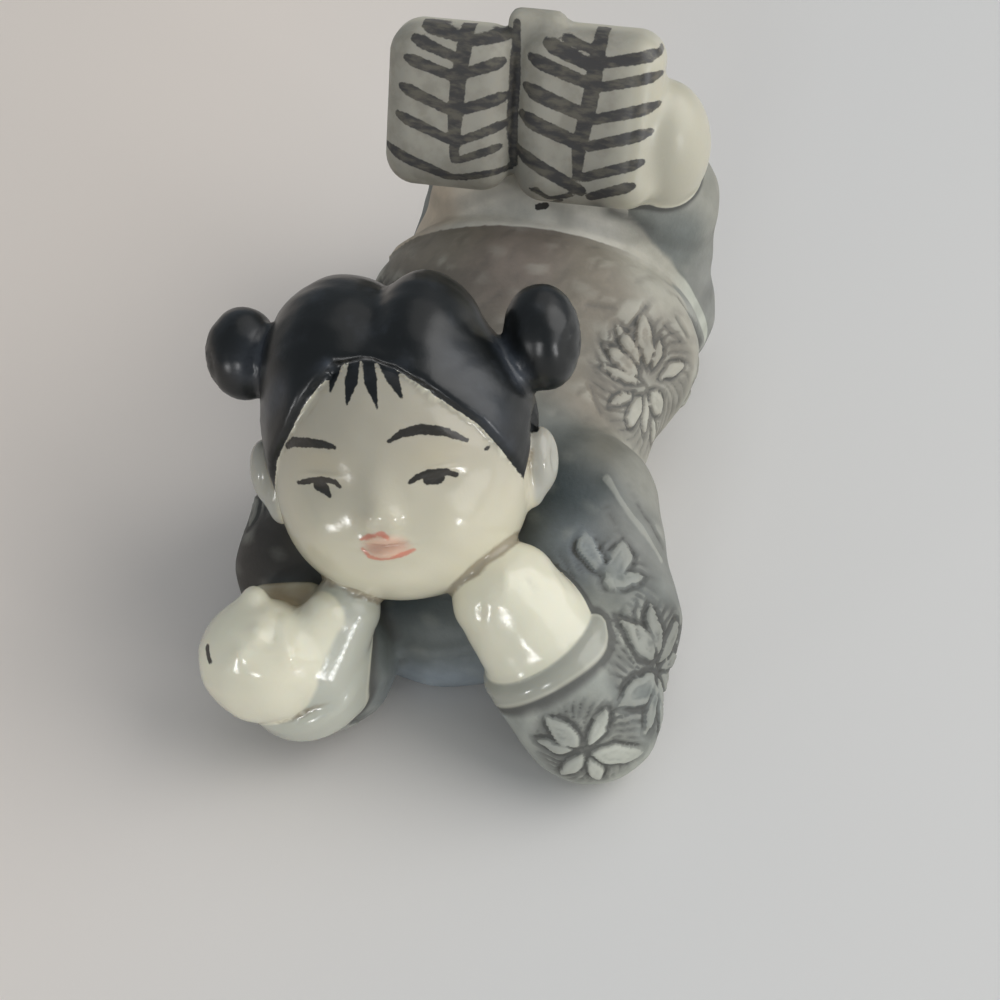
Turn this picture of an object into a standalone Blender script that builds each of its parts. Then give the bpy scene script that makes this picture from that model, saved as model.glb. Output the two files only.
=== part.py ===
"""Resin girl figurine: one solid cast figure lying on her front, chin on her hands, feet in the air.

The figure is cast in one piece, so it is one closed solid. Her forms are laid out in
millimetres on a figure NOMINAL_LENGTH long, and the whole figure follows FIGURE_LENGTH.
Her left is at +X, her head is towards -Y and her feet are at +Y.
"""

import math

import bmesh
import bpy
import numpy as np
from mathutils import Matrix, Vector

FIGURE_LENGTH = 0.052            # foremost sleeve to the knees, metres
NOMINAL_LENGTH = 56.8            # the same length in the millimetres of the layout below
GRID_STEP = 0.5                  # grid on which the forms are joined
TRIANGLE_COUNT = 9000            # triangles of the finished solid
SETTLE_ROUNDS = 4                # times the skin is evened out and drawn onto the carved surface
DRAW_STEPS = 2                   # moves towards the surface in a round
PROBE = 0.02                     # spacing used to read the slope of the surface
LEAST_STEEPNESS = 0.25           # keeps the moves short in creases
LONGEST_MOVE = 0.4               # of a point in one step
MERGE_DISTANCE = 0.001           # between the flat cut and a point on it

METRES = FIGURE_LENGTH / NOMINAL_LENGTH

RESIN_COLOUR = (0.60, 0.58, 0.48, 1.0)
RESIN_ROUGHNESS = 0.28

HEAD_CENTRE = Vector((-2.2, 0.6, 18.4))
HEAD_YAW = 7.6                   # turned to her left, degrees
HEAD_NOD = 28.0                  # face lifted
HEAD_LEAN = 10.0                 # top of the head leaning to her right

SKULL = (8.9, 8.8, 9.0)          # half sizes across, front to back and up
CHEEKS = (8.7, 8.2, 7.3)
EAR = (1.3, 1.75, 2.3)
RIGHT_BUN = (2.7, 2.9, 3.3)
LEFT_BUN = (2.7, 3.0, 3.75)
RIGHT_LOBE = (6.1, 7.8, 7.5)     # lobes of hair at each side of the parting
LEFT_LOBE = (4.6, 7.6, 7.2)
HAIR_CAP = (9.1, 9.0, 9.0)
HAIR_DEPTH = 0.6                 # hair standing out from the skin
HAIRLINE = (                     # degrees from the face towards her left, height on the head
    (-180.0, -7.5),
    (-124.0, -6.5),
    (-112.0, -3.0),
    (-100.0, 1.6),
    (-84.0, 1.4),
    (-79.0, -0.8),
    (-75.0, -3.2),
    (-68.0, -1.4),
    (-59.0, 0.8),
    (-46.0, 3.2),
    (-38.0, 5.3),
    (-26.0, 7.4),
    (-8.0, 7.6),
    (0.0, 7.5),
    (14.0, 7.0),
    (28.0, 5.8),
    (39.0, 4.3),
    (50.0, 2.8),
    (59.0, 0.9),
    (67.0, -1.0),
    (75.0, -2.8),
    (80.0, -0.6),
    (85.0, 1.4),
    (100.0, 1.6),
    (112.0, -3.0),
    (124.0, -6.5),
    (180.0, -7.5),
)

RIGHT_FOOT = (9.7, 6.0, 12.5)    # width of the sole, thickness and length
LEFT_FOOT = (10.6, 6.0, 13.4)
RIGHT_FOOT_ROUNDING = 2.4
LEFT_FOOT_ROUNDING = 2.2
FOOT_TURN = 8.0                  # soles turned to her left, degrees
FOOT_LIFT = 22.0                 # soles facing upwards

LEFT_LEG_RADII = (7.0, 6.0, 5.4, 4.8)     # hip, knee, shin and ankle
RIGHT_LEG_RADII = (7.0, 6.0, 5.3, 4.7)
LEFT_SLEEVE_RADII = (6.0, 5.5, 4.8, 5.0)  # shoulder, upper arm, elbow and wrist
RIGHT_SLEEVE_RADII = (5.6, 4.8, 4.3, 4.6)

CUFF_RADIUS = 5.0
LEFT_CUFF_LENGTH = 2.8           # along the forearm
RIGHT_CUFF_LENGTH = 3.4
CUFF_ROUNDING = 1.0

HEM_POINT = Vector((0.0, 27.3, 19.5))
HEM_SLOPE = Vector((-0.12, 1.0, 0.28)).normalized()   # away from the tunic, towards the feet
HEM_BAND = 2.1                   # width of the plain border along the hem
HEM_STEP = 0.35                  # border standing out from the tunic


def turned(yaw, nod, lean):
    """Axes of a turned form: its columns are the form's left, back and up directions."""
    turn = Matrix.Rotation(math.radians(yaw), 3, "Z")
    nodding = Matrix.Rotation(math.radians(-nod), 3, "X")
    leaning = Matrix.Rotation(math.radians(-lean), 3, "Y")
    return turn @ nodding @ leaning


UPRIGHT = Matrix.Identity(3)
HEAD = turned(HEAD_YAW, HEAD_NOD, HEAD_LEAN)


def at_head(left, back, up):
    """A place given in the head's own directions."""
    return HEAD_CENTRE + HEAD @ Vector((left, back, up))


def merge_into(form, piece):
    """Adds one bmesh to another and frees it."""
    mesh = bpy.data.meshes.new("piece")
    piece.to_mesh(mesh)
    piece.free()
    form.from_mesh(mesh)
    bpy.data.meshes.remove(mesh)


class Ball:
    """A ball or egg with its own axes."""

    def __init__(self, centre, radii, axes=UPRIGHT, blend=1.0):
        self.centre = Vector(centre)
        self.radii = Vector(radii)
        self.axes = axes
        self.blend = blend

    def add_to(self, form):
        place = Matrix.Translation(self.centre) @ (self.axes @ Matrix.Diagonal(self.radii)).to_4x4()
        bmesh.ops.create_uvsphere(form, u_segments=32, v_segments=16, radius=1.0, matrix=place)

    def distance(self, points):
        local = (points - np.array(self.centre)) @ np.array(self.axes)
        radii = np.array(self.radii)
        near = np.linalg.norm(local / radii, axis=1)
        slope = np.linalg.norm(local / radii ** 2, axis=1) + 1e-9
        return near * (near - 1.0) / slope


class Limb:
    """A length between two balls."""

    def __init__(self, start, end, first, last, blend=1.0):
        self.start = Vector(start)
        self.end = Vector(end)
        self.first = first
        self.last = last
        self.blend = blend

    def add_to(self, form):
        piece = bmesh.new()
        for centre, radius in ((self.start, self.first), (self.end, self.last)):
            place = Matrix.Translation(centre)
            bmesh.ops.create_uvsphere(piece, u_segments=20, v_segments=12, radius=radius, matrix=place)
        hull = bmesh.ops.convex_hull(piece, input=piece.verts)
        inside = [item for item in hull["geom_interior"] if isinstance(item, bmesh.types.BMVert)]
        bmesh.ops.delete(piece, geom=inside, context="VERTS")
        merge_into(form, piece)

    def distance(self, points):
        start = np.array(self.start)
        run = np.array(self.end) - start
        share = np.clip((points - start) @ run / (run @ run), 0.0, 1.0)
        near = np.linalg.norm(points - start - share[:, None] * run, axis=1)
        return near - (self.first + share * (self.last - self.first))


class Block:
    """A box with rounded edges and its own axes."""

    def __init__(self, centre, size, axes, rounding, blend=1.0):
        self.centre = Vector(centre)
        self.size = Vector(size)
        self.axes = axes
        self.rounding = rounding
        self.blend = blend

    def add_to(self, form):
        piece = bmesh.new()
        bmesh.ops.create_cube(piece, size=1.0)
        bmesh.ops.scale(piece, vec=self.size, verts=piece.verts)
        bmesh.ops.bevel(
            piece, geom=piece.edges[:], offset=self.rounding, segments=4, profile=0.5, affect="EDGES", material=-1
        )
        place = Matrix.Translation(self.centre) @ self.axes.to_4x4()
        bmesh.ops.transform(piece, matrix=place, verts=piece.verts)
        merge_into(form, piece)

    def distance(self, points):
        local = np.abs((points - np.array(self.centre)) @ np.array(self.axes))
        beyond = local - (np.array(self.size) / 2.0 - self.rounding)
        outer = np.linalg.norm(np.maximum(beyond, 0.0), axis=1)
        return outer + np.minimum(beyond.max(axis=1), 0.0) - self.rounding


class Drum:
    """A short cylinder with rounded rims."""

    def __init__(self, centre, along, radius, height, rounding, blend=1.0):
        self.centre = Vector(centre)
        self.along = Vector(along).normalized()
        self.radius = radius
        self.height = height
        self.rounding = rounding
        self.blend = blend

    def add_to(self, form):
        piece = bmesh.new()
        bmesh.ops.create_cone(
            piece, cap_ends=True, segments=36, radius1=self.radius, radius2=self.radius, depth=self.height
        )
        turn = Vector((0.0, 0.0, 1.0)).rotation_difference(self.along).to_matrix()
        place = Matrix.Translation(self.centre) @ turn.to_4x4()
        bmesh.ops.transform(piece, matrix=place, verts=piece.verts)
        merge_into(form, piece)

    def distance(self, points):
        offset = points - np.array(self.centre)
        axial = offset @ np.array(self.along)
        radial = np.sqrt(np.maximum((offset * offset).sum(axis=1) - axial * axial, 0.0))
        beyond = np.stack([radial - self.radius, np.abs(axial) - self.height / 2.0], axis=1) + self.rounding
        outer = np.linalg.norm(np.maximum(beyond, 0.0), axis=1)
        return outer + np.minimum(beyond.max(axis=1), 0.0) - self.rounding


def limb_chain(places, radii, blend):
    """A bent limb of several lengths."""
    lengths = zip(places, places[1:], radii, radii[1:])
    return [Limb(start, end, first, last, blend) for start, end, first, last in lengths]


def blended_min(one, other, blend):
    """The nearer of two surfaces, with the crease between them filled over the blend width."""
    overlap = np.maximum(blend - np.abs(one - other), 0.0) / blend
    return np.minimum(one, other) - overlap * overlap * blend / 4.0


def melted(forms, points):
    """How far each point is from the forms melted together."""
    total = forms[0].distance(points)
    for form in forms[1:]:
        total = blended_min(total, form.distance(points), form.blend)
    return total


def blended_max(one, other, blend):
    """What lies inside both surfaces, with the edge between them rounded over the blend width."""
    return -blended_min(-one, -other, blend)


def tunic_forms():
    """Chest, waist and seat."""
    return [
        Ball((1.0, 2.9, 3.8), (9.6, 10.0, 6.9)),
        Ball((0.2, 9.0, 8.0), (10.6, 9.0, 7.2), blend=3.0),
        Ball((0.5, 15.5, 7.2), (11.8, 10.0, 8.2), blend=3.0),
        Ball((0.6, 23.6, 8.6), (13.4, 9.0, 9.7), blend=3.0),
    ]


def trouser_forms():
    """Thighs on the table, knees, and shins standing up behind the seat."""
    forms = [Ball((0.4, 25.5, 8.4), (12.5, 8.6, 9.2))]
    left = [(5.6, 25.0, 7.5), (6.9, 32.5, 5.7), (6.9, 33.8, 16.0), (5.8, 32.8, 20.5)]
    right = [(-5.6, 25.0, 7.5), (-6.4, 32.5, 5.7), (-5.0, 33.9, 16.0), (-4.8, 32.8, 20.5)]
    forms += limb_chain(left, LEFT_LEG_RADII, 1.5) + limb_chain(right, RIGHT_LEG_RADII, 1.5)
    forms.append(Ball((0.0, 30.5, 12.0), (9.0, 5.6, 9.0), blend=2.0))
    return forms


FOOT_AXES = turned(FOOT_TURN, FOOT_LIFT, 0.0)


def foot_forms():
    """Two feet side by side, soles towards her head, and the ankle that shows beside them."""
    return [
        Block((-7.3, 28.8, 26.0), RIGHT_FOOT, FOOT_AXES, RIGHT_FOOT_ROUNDING),
        Ball((-7.4, 31.5, 22.0), (3.5, 4.0, 5.0), blend=1.0),
        Block((3.1, 30.3, 26.15), LEFT_FOOT, FOOT_AXES, LEFT_FOOT_ROUNDING, blend=1.0),
        Ball((8.2, 32.2, 23.0), (3.8, 4.0, 5.6), blend=0.8),
        Block((-1.7, 32.0, 31.35), (4.2, 2.5, 3.6), FOOT_AXES, 0.8, blend=0.8),
    ]


def head_forms():
    """Skull and full cheeks, with small ears."""
    return [
        Ball(at_head(0.0, 0.2, 0.6), SKULL, HEAD),
        Ball(at_head(0.0, -0.6, -3.6), CHEEKS, HEAD, blend=2.0),
        Ball(at_head(-10.0, 0.5, -1.7), EAR, HEAD, blend=0.6),
        Ball(at_head(-9.2, 0.2, -4.0), (1.0, 1.1, 1.6), HEAD, blend=0.8),
        Ball(at_head(9.6, 0.9, -1.9), EAR, HEAD, blend=0.6),
        Ball(at_head(8.9, 0.3, -3.8), (0.9, 1.0, 1.4), HEAD, blend=0.8),
        Limb(at_head(0.0, -8.1, -0.2), at_head(0.0, -8.75, -2.3), 0.55, 0.85, blend=1.4),
        Limb(at_head(0.0, 3.0, -5.0), Vector((0.0, 5.0, 8.0)), 5.0, 6.0, blend=1.0),
    ]


def hair_forms():
    """Two swept lobes with a parting over the skull."""
    return [
        Ball(at_head(0.0, 0.4, 0.6), [size + HAIR_DEPTH for size in HAIR_CAP], HEAD),
        Ball(at_head(-3.5, 1.2, 4.3), RIGHT_LOBE, HEAD, blend=1.0),
        Ball(at_head(2.3, 1.0, 4.6), LEFT_LOBE, HEAD, blend=0.5),
    ]


def bun_forms():
    """A bun at each side of the crown, the left one on a short neck."""
    return [
        Ball(at_head(-10.9, 1.8, 6.6), RIGHT_BUN, HEAD),
        Ball(at_head(10.4, 1.6, 6.6), LEFT_BUN, HEAD),
        Ball(at_head(8.6, 1.5, 4.9), (2.0, 2.4, 2.2), HEAD, blend=0.6),
    ]


LEFT_FOREARM = Vector((-0.60, 0.10, 0.79))
RIGHT_FOREARM = Vector((-0.25, -0.35, 0.90))


def sleeve_forms():
    """Sleeves from the shoulders down to elbows on the table and up to the cuffs."""
    left = [(9.2, 6.6, 8.8), (13.2, -1.5, 6.4), (14.2, -7.8, 4.5), (11.9, -7.1, 6.8)]
    right = [(-9.2, 6.0, 9.0), (-8.8, -2.5, 6.6), (-4.8, -8.8, 4.1), (-4.9, -9.8, 5.0)]
    return limb_chain(left, LEFT_SLEEVE_RADII, 1.5) + limb_chain(right, RIGHT_SLEEVE_RADII, 1.5)


def cuff_forms():
    """A thick cuff round each wrist, the right one drawn up beside the hand."""
    return [
        Drum((10.8, -6.6, 8.1), LEFT_FOREARM, CUFF_RADIUS, LEFT_CUFF_LENGTH, CUFF_ROUNDING),
        Drum((-5.8, -11.0, 5.5), RIGHT_FOREARM, CUFF_RADIUS, RIGHT_CUFF_LENGTH, CUFF_ROUNDING),
        Limb((-5.0, -11.4, 7.4), (-3.5, -8.6, 10.3), 3.6, 2.5),
    ]


def hand_forms():
    """Her left fist under the cheek; her right hand's back, thumb, first finger and palm behind."""
    return [
        Limb((10.3, -6.4, 8.7), (7.4, -5.3, 11.8), 4.4, 3.9),
        Ball((-8.1, -12.9, 8.1), (4.6, 4.2, 4.7)),
        Limb((-9.4, -12.9, 9.8), (-9.2, -11.0, 12.2), 2.6, 0.95, blend=0.5),
        Limb((-6.0, -12.6, 8.6), (-4.3, -10.1, 10.9), 3.0, 1.8, blend=0.5),
        Limb((-9.2, -9.2, 9.4), (-6.4, -8.5, 9.6), 1.6, 1.7, blend=0.4),
    ]


def heights(values, centre, width):
    """A smooth bump of height 1 at the centre."""
    return np.exp(-(((values - centre) / width) ** 2))


def mound(local, left, up, wide, tall):
    """A smooth mound on the face, or one at each side when left isn't zero."""
    return heights(np.abs(local[:, 0]), left, wide) * heights(local[:, 2], up, tall)


def face_relief(local):
    """How far the face stands out of the head, by place in the head's own directions."""
    front = np.clip((-local[:, 1] - 4.0) / 2.0, 0.0, 1.0)
    relief = -0.35 * mound(local, 3.9, -0.3, 1.9, 1.2)
    relief += 0.20 * mound(local, 3.9, 0.2, 1.5, 0.5)
    relief += 0.25 * mound(local, 4.8, -3.6, 2.2, 2.0)
    relief += 0.30 * mound(local, 0.8, -2.6, 0.5, 0.5)
    relief += 0.35 * mound(local, 0.0, -4.1, 1.4, 0.45)
    relief += 0.35 * mound(local, 0.0, -5.15, 1.1, 0.45)
    relief -= 0.15 * mound(local, 0.0, -4.6, 1.8, 0.2)
    relief -= 0.12 * mound(local, 0.0, -6.0, 1.5, 0.4)
    relief += 0.20 * mound(local, 0.0, -7.4, 1.8, 1.0)
    return relief * front


def inside_hairline(local):
    """How far a place lies inside the edge of the hair."""
    degrees = np.degrees(np.arctan2(local[:, 0], -local[:, 1]))
    turns = [place for place, _ in HAIRLINE]
    rises = [rise for _, rise in HAIRLINE]
    return (local[:, 2] - np.interp(degrees, turns, rises)) * 0.8


def beyond_hem(points):
    """How far a place lies past the tunic's hem, towards the feet."""
    return (points - np.array(HEM_POINT)) @ np.array(HEM_SLOPE)


def ramp(values, start, end):
    """0 below start, 1 above end and smooth between."""
    share = np.clip((values - start) / (end - start), 0.0, 1.0)
    return share * share * (3.0 - 2.0 * share)


def head_distance(points):
    """Face, ears, hair and buns."""
    local = (points - np.array(HEAD_CENTRE)) @ np.array(HEAD)
    skin = melted(head_forms(), points) - face_relief(local)
    hair = blended_max(melted(hair_forms(), points), -inside_hairline(local), 0.8)
    hair = blended_min(hair, melted(bun_forms(), points), 0.5)
    return blended_min(skin, hair, 0.2)


def clothes_distance(points):
    """Tunic with its border, trousers, sleeves and collar."""
    past = beyond_hem(points)
    border = ramp(past, -HEM_BAND - 0.3, -HEM_BAND + 0.1)
    tunic = melted(tunic_forms(), points) - HEM_STEP * border
    tunic = blended_max(tunic, past, 0.5)
    collar = heights(points[:, 2] - 0.15 * points[:, 0], 5.2, 0.45) * ramp(-points[:, 1], 2.0, 4.0)
    tunic -= 0.4 * collar
    tunic = blended_min(tunic, melted(trouser_forms(), points), 0.3)
    return blended_min(tunic, melted(sleeve_forms(), points), 1.2)


def surface_distance(points):
    """How far each point is from the finished surface."""
    total = clothes_distance(points)
    for cuff in cuff_forms():
        total = blended_min(total, cuff.distance(points), 0.3)
    total = blended_min(total, melted(hand_forms(), points), 0.4)
    total = blended_min(total, melted(foot_forms(), points), 0.4)
    return blended_min(total, head_distance(points), 0.5)


def all_forms():
    clothes = tunic_forms() + trouser_forms() + sleeve_forms()
    return clothes + cuff_forms() + hand_forms() + foot_forms() + head_forms() + hair_forms() + bun_forms()


def draw_onto_surface(mesh):
    """Moves the skin's points onto the finished surface."""
    points = np.empty(len(mesh.vertices) * 3)
    mesh.vertices.foreach_get("co", points)
    points = points.reshape(-1, 3)
    for _ in range(DRAW_STEPS):
        gap = surface_distance(points)
        slope = np.stack([surface_distance(points + step) - gap for step in np.eye(3) * PROBE], axis=1) / PROBE
        steepness = np.maximum((slope * slope).sum(axis=1), LEAST_STEEPNESS)
        move = slope * (gap / steepness)[:, None]
        length = np.linalg.norm(move, axis=1, keepdims=True)
        points -= move * np.minimum(1.0, LONGEST_MOVE / np.maximum(length, LONGEST_MOVE / 10.0))
    mesh.vertices.foreach_set("co", points.ravel())
    mesh.update()


def even_out(mesh):
    """Spaces the skin's points evenly."""
    form = bmesh.new()
    form.from_mesh(mesh)
    bmesh.ops.smooth_vert(form, verts=form.verts, factor=0.5, use_axis_x=True, use_axis_y=True, use_axis_z=True)
    form.to_mesh(mesh)
    form.free()


def with_modifier(mesh, kind, **settings):
    """A new mesh: the given one after a modifier, which takes the given one's place."""
    obj = bpy.data.objects.new("work", mesh)
    bpy.context.scene.collection.objects.link(obj)
    modifier = obj.modifiers.new("step", kind)
    for name, value in settings.items():
        setattr(modifier, name, value)
    graph = bpy.context.evaluated_depsgraph_get()
    result = bpy.data.meshes.new_from_object(obj.evaluated_get(graph))
    bpy.data.objects.remove(obj)
    bpy.data.meshes.remove(mesh)
    return result


def joined_skin():
    """One closed skin around all the overlapping forms."""
    form = bmesh.new()
    for part in all_forms():
        part.add_to(form)
    mesh = bpy.data.meshes.new("forms")
    form.to_mesh(mesh)
    form.free()
    return with_modifier(mesh, "REMESH", mode="VOXEL", voxel_size=GRID_STEP)


def stand_flat(mesh):
    """Cuts the underside flat where she rests on the table, and puts the middle of it at the origin."""
    form = bmesh.new()
    form.from_mesh(mesh)
    everything = form.verts[:] + form.edges[:] + form.faces[:]
    bmesh.ops.bisect_plane(form, geom=everything, dist=MERGE_DISTANCE, plane_no=(0.0, 0.0, -1.0), clear_outer=True)
    rims = [edge for edge in form.edges if edge.is_boundary]
    bmesh.ops.holes_fill(form, edges=rims, sides=0)
    bmesh.ops.triangulate(form, faces=form.faces[:])
    bmesh.ops.recalc_face_normals(form, faces=form.faces[:])
    places = np.array([vert.co for vert in form.verts])
    middle = (places.min(axis=0) + places.max(axis=0)) / 2.0
    bmesh.ops.translate(form, vec=(-middle[0], -middle[1], 0.0), verts=form.verts)
    bmesh.ops.scale(form, vec=(METRES, METRES, METRES), verts=form.verts)
    form.to_mesh(mesh)
    form.free()


def resin():
    """Glossy ivory resin."""
    material = bpy.data.materials.new("resin")
    material.use_nodes = True
    shader = material.node_tree.nodes["Principled BSDF"]
    shader.inputs["Base Color"].default_value = RESIN_COLOUR
    shader.inputs["Roughness"].default_value = RESIN_ROUGHNESS
    shader.inputs["Metallic"].default_value = 0.0
    return material


def clear_scene():
    for obj in list(bpy.data.objects):
        bpy.data.objects.remove(obj)
    for collection in list(bpy.data.collections):
        bpy.data.collections.remove(collection)


def main():
    clear_scene()
    skin = joined_skin()
    for _ in range(SETTLE_ROUNDS):
        even_out(skin)
        draw_onto_surface(skin)
    skin = with_modifier(skin, "TRIANGULATE")
    skin = with_modifier(skin, "DECIMATE", ratio=TRIANGLE_COUNT / len(skin.polygons))
    stand_flat(skin)
    skin.shade_smooth()
    skin.materials.append(resin())
    girl = bpy.data.objects.new("girl_figurine", skin)
    collection = bpy.data.collections.new("resin_girl_figurine")
    bpy.context.scene.collection.children.link(collection)
    collection.objects.link(girl)


main()
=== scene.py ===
"""Finished look of a small cast resin figurine: a girl lying on her front, chin on her hands, feet up.

Her forms are laid out in millimetres on a figure NOMINAL_LENGTH long, as in the solid that she
replaces, and METRES brings them to that solid's size. Her left is at +X, her head is towards -Y
and her feet are at +Y. The camera sees her from her left front, above.
"""

import logging
import math
from dataclasses import dataclass, field
from enum import Enum

import bmesh
import bpy
import numpy as np
from mathutils import Matrix, Vector


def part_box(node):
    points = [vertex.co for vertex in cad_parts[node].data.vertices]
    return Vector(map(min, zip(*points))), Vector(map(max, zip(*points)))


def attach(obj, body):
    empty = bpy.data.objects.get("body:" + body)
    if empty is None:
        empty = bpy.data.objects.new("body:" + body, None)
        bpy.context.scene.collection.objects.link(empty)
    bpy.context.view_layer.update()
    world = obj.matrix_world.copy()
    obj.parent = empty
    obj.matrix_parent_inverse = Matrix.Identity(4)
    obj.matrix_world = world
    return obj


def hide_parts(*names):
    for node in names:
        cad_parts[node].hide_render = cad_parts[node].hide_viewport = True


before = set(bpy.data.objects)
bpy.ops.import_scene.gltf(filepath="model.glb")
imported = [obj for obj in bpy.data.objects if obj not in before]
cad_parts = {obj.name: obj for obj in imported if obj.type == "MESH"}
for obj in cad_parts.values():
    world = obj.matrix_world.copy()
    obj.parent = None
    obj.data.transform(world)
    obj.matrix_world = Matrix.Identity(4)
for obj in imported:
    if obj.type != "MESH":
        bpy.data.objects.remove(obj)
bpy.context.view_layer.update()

log = logging.getLogger("figurine")

NODE = "girl_figurine"

FIGURE_LENGTH = 0.052            # foremost sleeve to the knees, metres
NOMINAL_LENGTH = 56.8            # the same length in the millimetres of the layout below
METRES = FIGURE_LENGTH / NOMINAL_LENGTH

GRID_STEP = 0.44                 # grid on which the forms are joined
PROBE = 0.02                     # spacing used to read the slope of the surface
LEAST_STEEPNESS = 0.25           # keeps the moves short in creases
LONGEST_MOVE = 0.4               # of a point in one step
FAR_OFF = 2.0                    # distance given to points well clear of a form
MERGE_DISTANCE = 0.001           # between the flat cut and a point on it

HEAD_CENTRE = (-2.2, 0.6, 18.4)
RIGHT_SOLE = (-7.3, 28.8, 26.0)  # middle of her right foot
LEFT_SOLE = (3.1, 30.3, 25.8)
PICTURE_UP = (-0.214, 0.699, 0.682)   # the camera's up direction

Points = np.ndarray
Place = tuple[float, float, float]
Colour = tuple[float, float, float]
Socket = bpy.types.NodeSocket
Shade = Socket | float | Colour     # a shader value: linked, a number or a colour


def turned(yaw: float, nod: float, lean: float) -> np.ndarray:
    """Axes of a turned form.

    Args:
        yaw: degrees to her left.
        nod: degrees that the front is lifted.
        lean: degrees that the top leans to her right.

    Returns:
        A matrix whose columns are the form's left, back and up directions.
    """
    turn = Matrix.Rotation(math.radians(yaw), 3, "Z")
    nodding = Matrix.Rotation(math.radians(-nod), 3, "X")
    leaning = Matrix.Rotation(math.radians(-lean), 3, "Y")
    return np.array(turn @ nodding @ leaning)


class Axes(Enum):
    """Named sets of directions: yaw, nod and lean in degrees."""

    UPRIGHT = (0.0, 0.0, 0.0)
    HEAD = (7.6, 28.0, 10.0)
    FOOT = (8.0, 22.0, 0.0)

    @property
    def columns(self) -> np.ndarray:
        """The left, back and up directions as columns."""
        return turned(*self.value)


def at_head(left: float, back: float, up: float) -> Place:
    """A place given in the head's own directions."""
    return tuple(np.array(HEAD_CENTRE) + Axes.HEAD.columns @ np.array((left, back, up)))


def local_to(points: Points, centre: Place, axes: Axes) -> Points:
    """Places given as left, back and up of a centre."""
    return (points - np.array(centre)) @ axes.columns


def ramp(values: Points, start: float, end: float) -> Points:
    """0 below start, 1 above end and smooth between."""
    share = np.clip((values - start) / (end - start), 0.0, 1.0)
    return share * share * (3.0 - 2.0 * share)


def bump(values: Points, centre: float, width: float) -> Points:
    """A smooth bump of height 1 at the centre."""
    return np.exp(-(((values - centre) / width) ** 2))


def blended_min(one: Points, other: Points, blend: float) -> Points:
    """The nearer of two surfaces, with the crease between them filled over the blend width."""
    overlap = np.maximum(blend - np.abs(one - other), 0.0) / blend
    return np.minimum(one, other) - overlap * overlap * blend / 4.0


def blended_max(one: Points, other: Points, blend: float) -> Points:
    """What lies inside both surfaces, with the edge between them rounded over the blend width."""
    return -blended_min(-one, -other, blend)


def merge_into(form: bmesh.types.BMesh, piece: bmesh.types.BMesh) -> None:
    """Adds one bmesh to another and frees it.

    Args:
        form: the bmesh that takes the other.
        piece: the bmesh that is added.
    """
    mesh = bpy.data.meshes.new("piece")
    piece.to_mesh(mesh)
    piece.free()
    form.from_mesh(mesh)
    bpy.data.meshes.remove(mesh)


@dataclass(frozen=True)
class Ball:
    """A ball or egg with its own axes, and the width over which it melts into what it joins."""

    centre: Place
    radii: Place
    axes: Axes = Axes.UPRIGHT
    blend: float = 1.0

    def add_to(self, form: bmesh.types.BMesh) -> None:
        """Adds the ball's mesh.

        Args:
            form: the bmesh that takes it.
        """
        turn = Matrix(self.axes.columns) @ Matrix.Diagonal(Vector(self.radii))
        place = Matrix.Translation(self.centre) @ turn.to_4x4()
        bmesh.ops.create_uvsphere(form, u_segments=32, v_segments=16, radius=1.0, matrix=place)

    def distance(self, points: Points) -> Points:
        """How far each point is from the ball.

        Args:
            points: places in layout millimetres, one in a row.

        Returns:
            The distances, below zero inside.
        """
        local = local_to(points, self.centre, self.axes)
        radii = np.array(self.radii)
        near = np.linalg.norm(local / radii, axis=1)
        slope = np.linalg.norm(local / radii ** 2, axis=1) + 1e-9
        return near * (near - 1.0) / slope


@dataclass(frozen=True)
class Limb:
    """A length between two balls."""

    start: Place
    end: Place
    first: float
    last: float
    blend: float = 1.0

    def add_to(self, form: bmesh.types.BMesh) -> None:
        """Adds the limb's mesh: the hull of its two balls.

        Args:
            form: the bmesh that takes it.
        """
        piece = bmesh.new()
        for centre, radius in ((self.start, self.first), (self.end, self.last)):
            place = Matrix.Translation(centre)
            bmesh.ops.create_uvsphere(piece, u_segments=20, v_segments=12, radius=radius, matrix=place)
        hull = bmesh.ops.convex_hull(piece, input=piece.verts)
        inside = [item for item in hull["geom_interior"] if isinstance(item, bmesh.types.BMVert)]
        bmesh.ops.delete(piece, geom=inside, context="VERTS")
        merge_into(form, piece)

    def distance(self, points: Points) -> Points:
        """How far each point is from the limb.

        Args:
            points: places in layout millimetres, one in a row.

        Returns:
            The distances, below zero inside.
        """
        start = np.array(self.start)
        run = np.array(self.end) - start
        share = np.clip((points - start) @ run / (run @ run), 0.0, 1.0)
        near = np.linalg.norm(points - start - share[:, None] * run, axis=1)
        return near - (self.first + share * (self.last - self.first))


@dataclass(frozen=True)
class Block:
    """A box with rounded edges and its own axes."""

    centre: Place
    size: Place
    axes: Axes
    rounding: float
    blend: float = 1.0

    def add_to(self, form: bmesh.types.BMesh) -> None:
        """Adds the block's mesh.

        Args:
            form: the bmesh that takes it.
        """
        piece = bmesh.new()
        bmesh.ops.create_cube(piece, size=1.0)
        bmesh.ops.scale(piece, vec=self.size, verts=piece.verts)
        bmesh.ops.bevel(
            piece, geom=piece.edges[:], offset=self.rounding, segments=4, profile=0.5, affect="EDGES", material=-1
        )
        place = Matrix.Translation(self.centre) @ Matrix(self.axes.columns).to_4x4()
        bmesh.ops.transform(piece, matrix=place, verts=piece.verts)
        merge_into(form, piece)

    def distance(self, points: Points) -> Points:
        """How far each point is from the block.

        Args:
            points: places in layout millimetres, one in a row.

        Returns:
            The distances, below zero inside.
        """
        beyond = np.abs(local_to(points, self.centre, self.axes)) - (np.array(self.size) / 2.0 - self.rounding)
        outer = np.linalg.norm(np.maximum(beyond, 0.0), axis=1)
        return outer + np.minimum(beyond.max(axis=1), 0.0) - self.rounding


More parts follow.
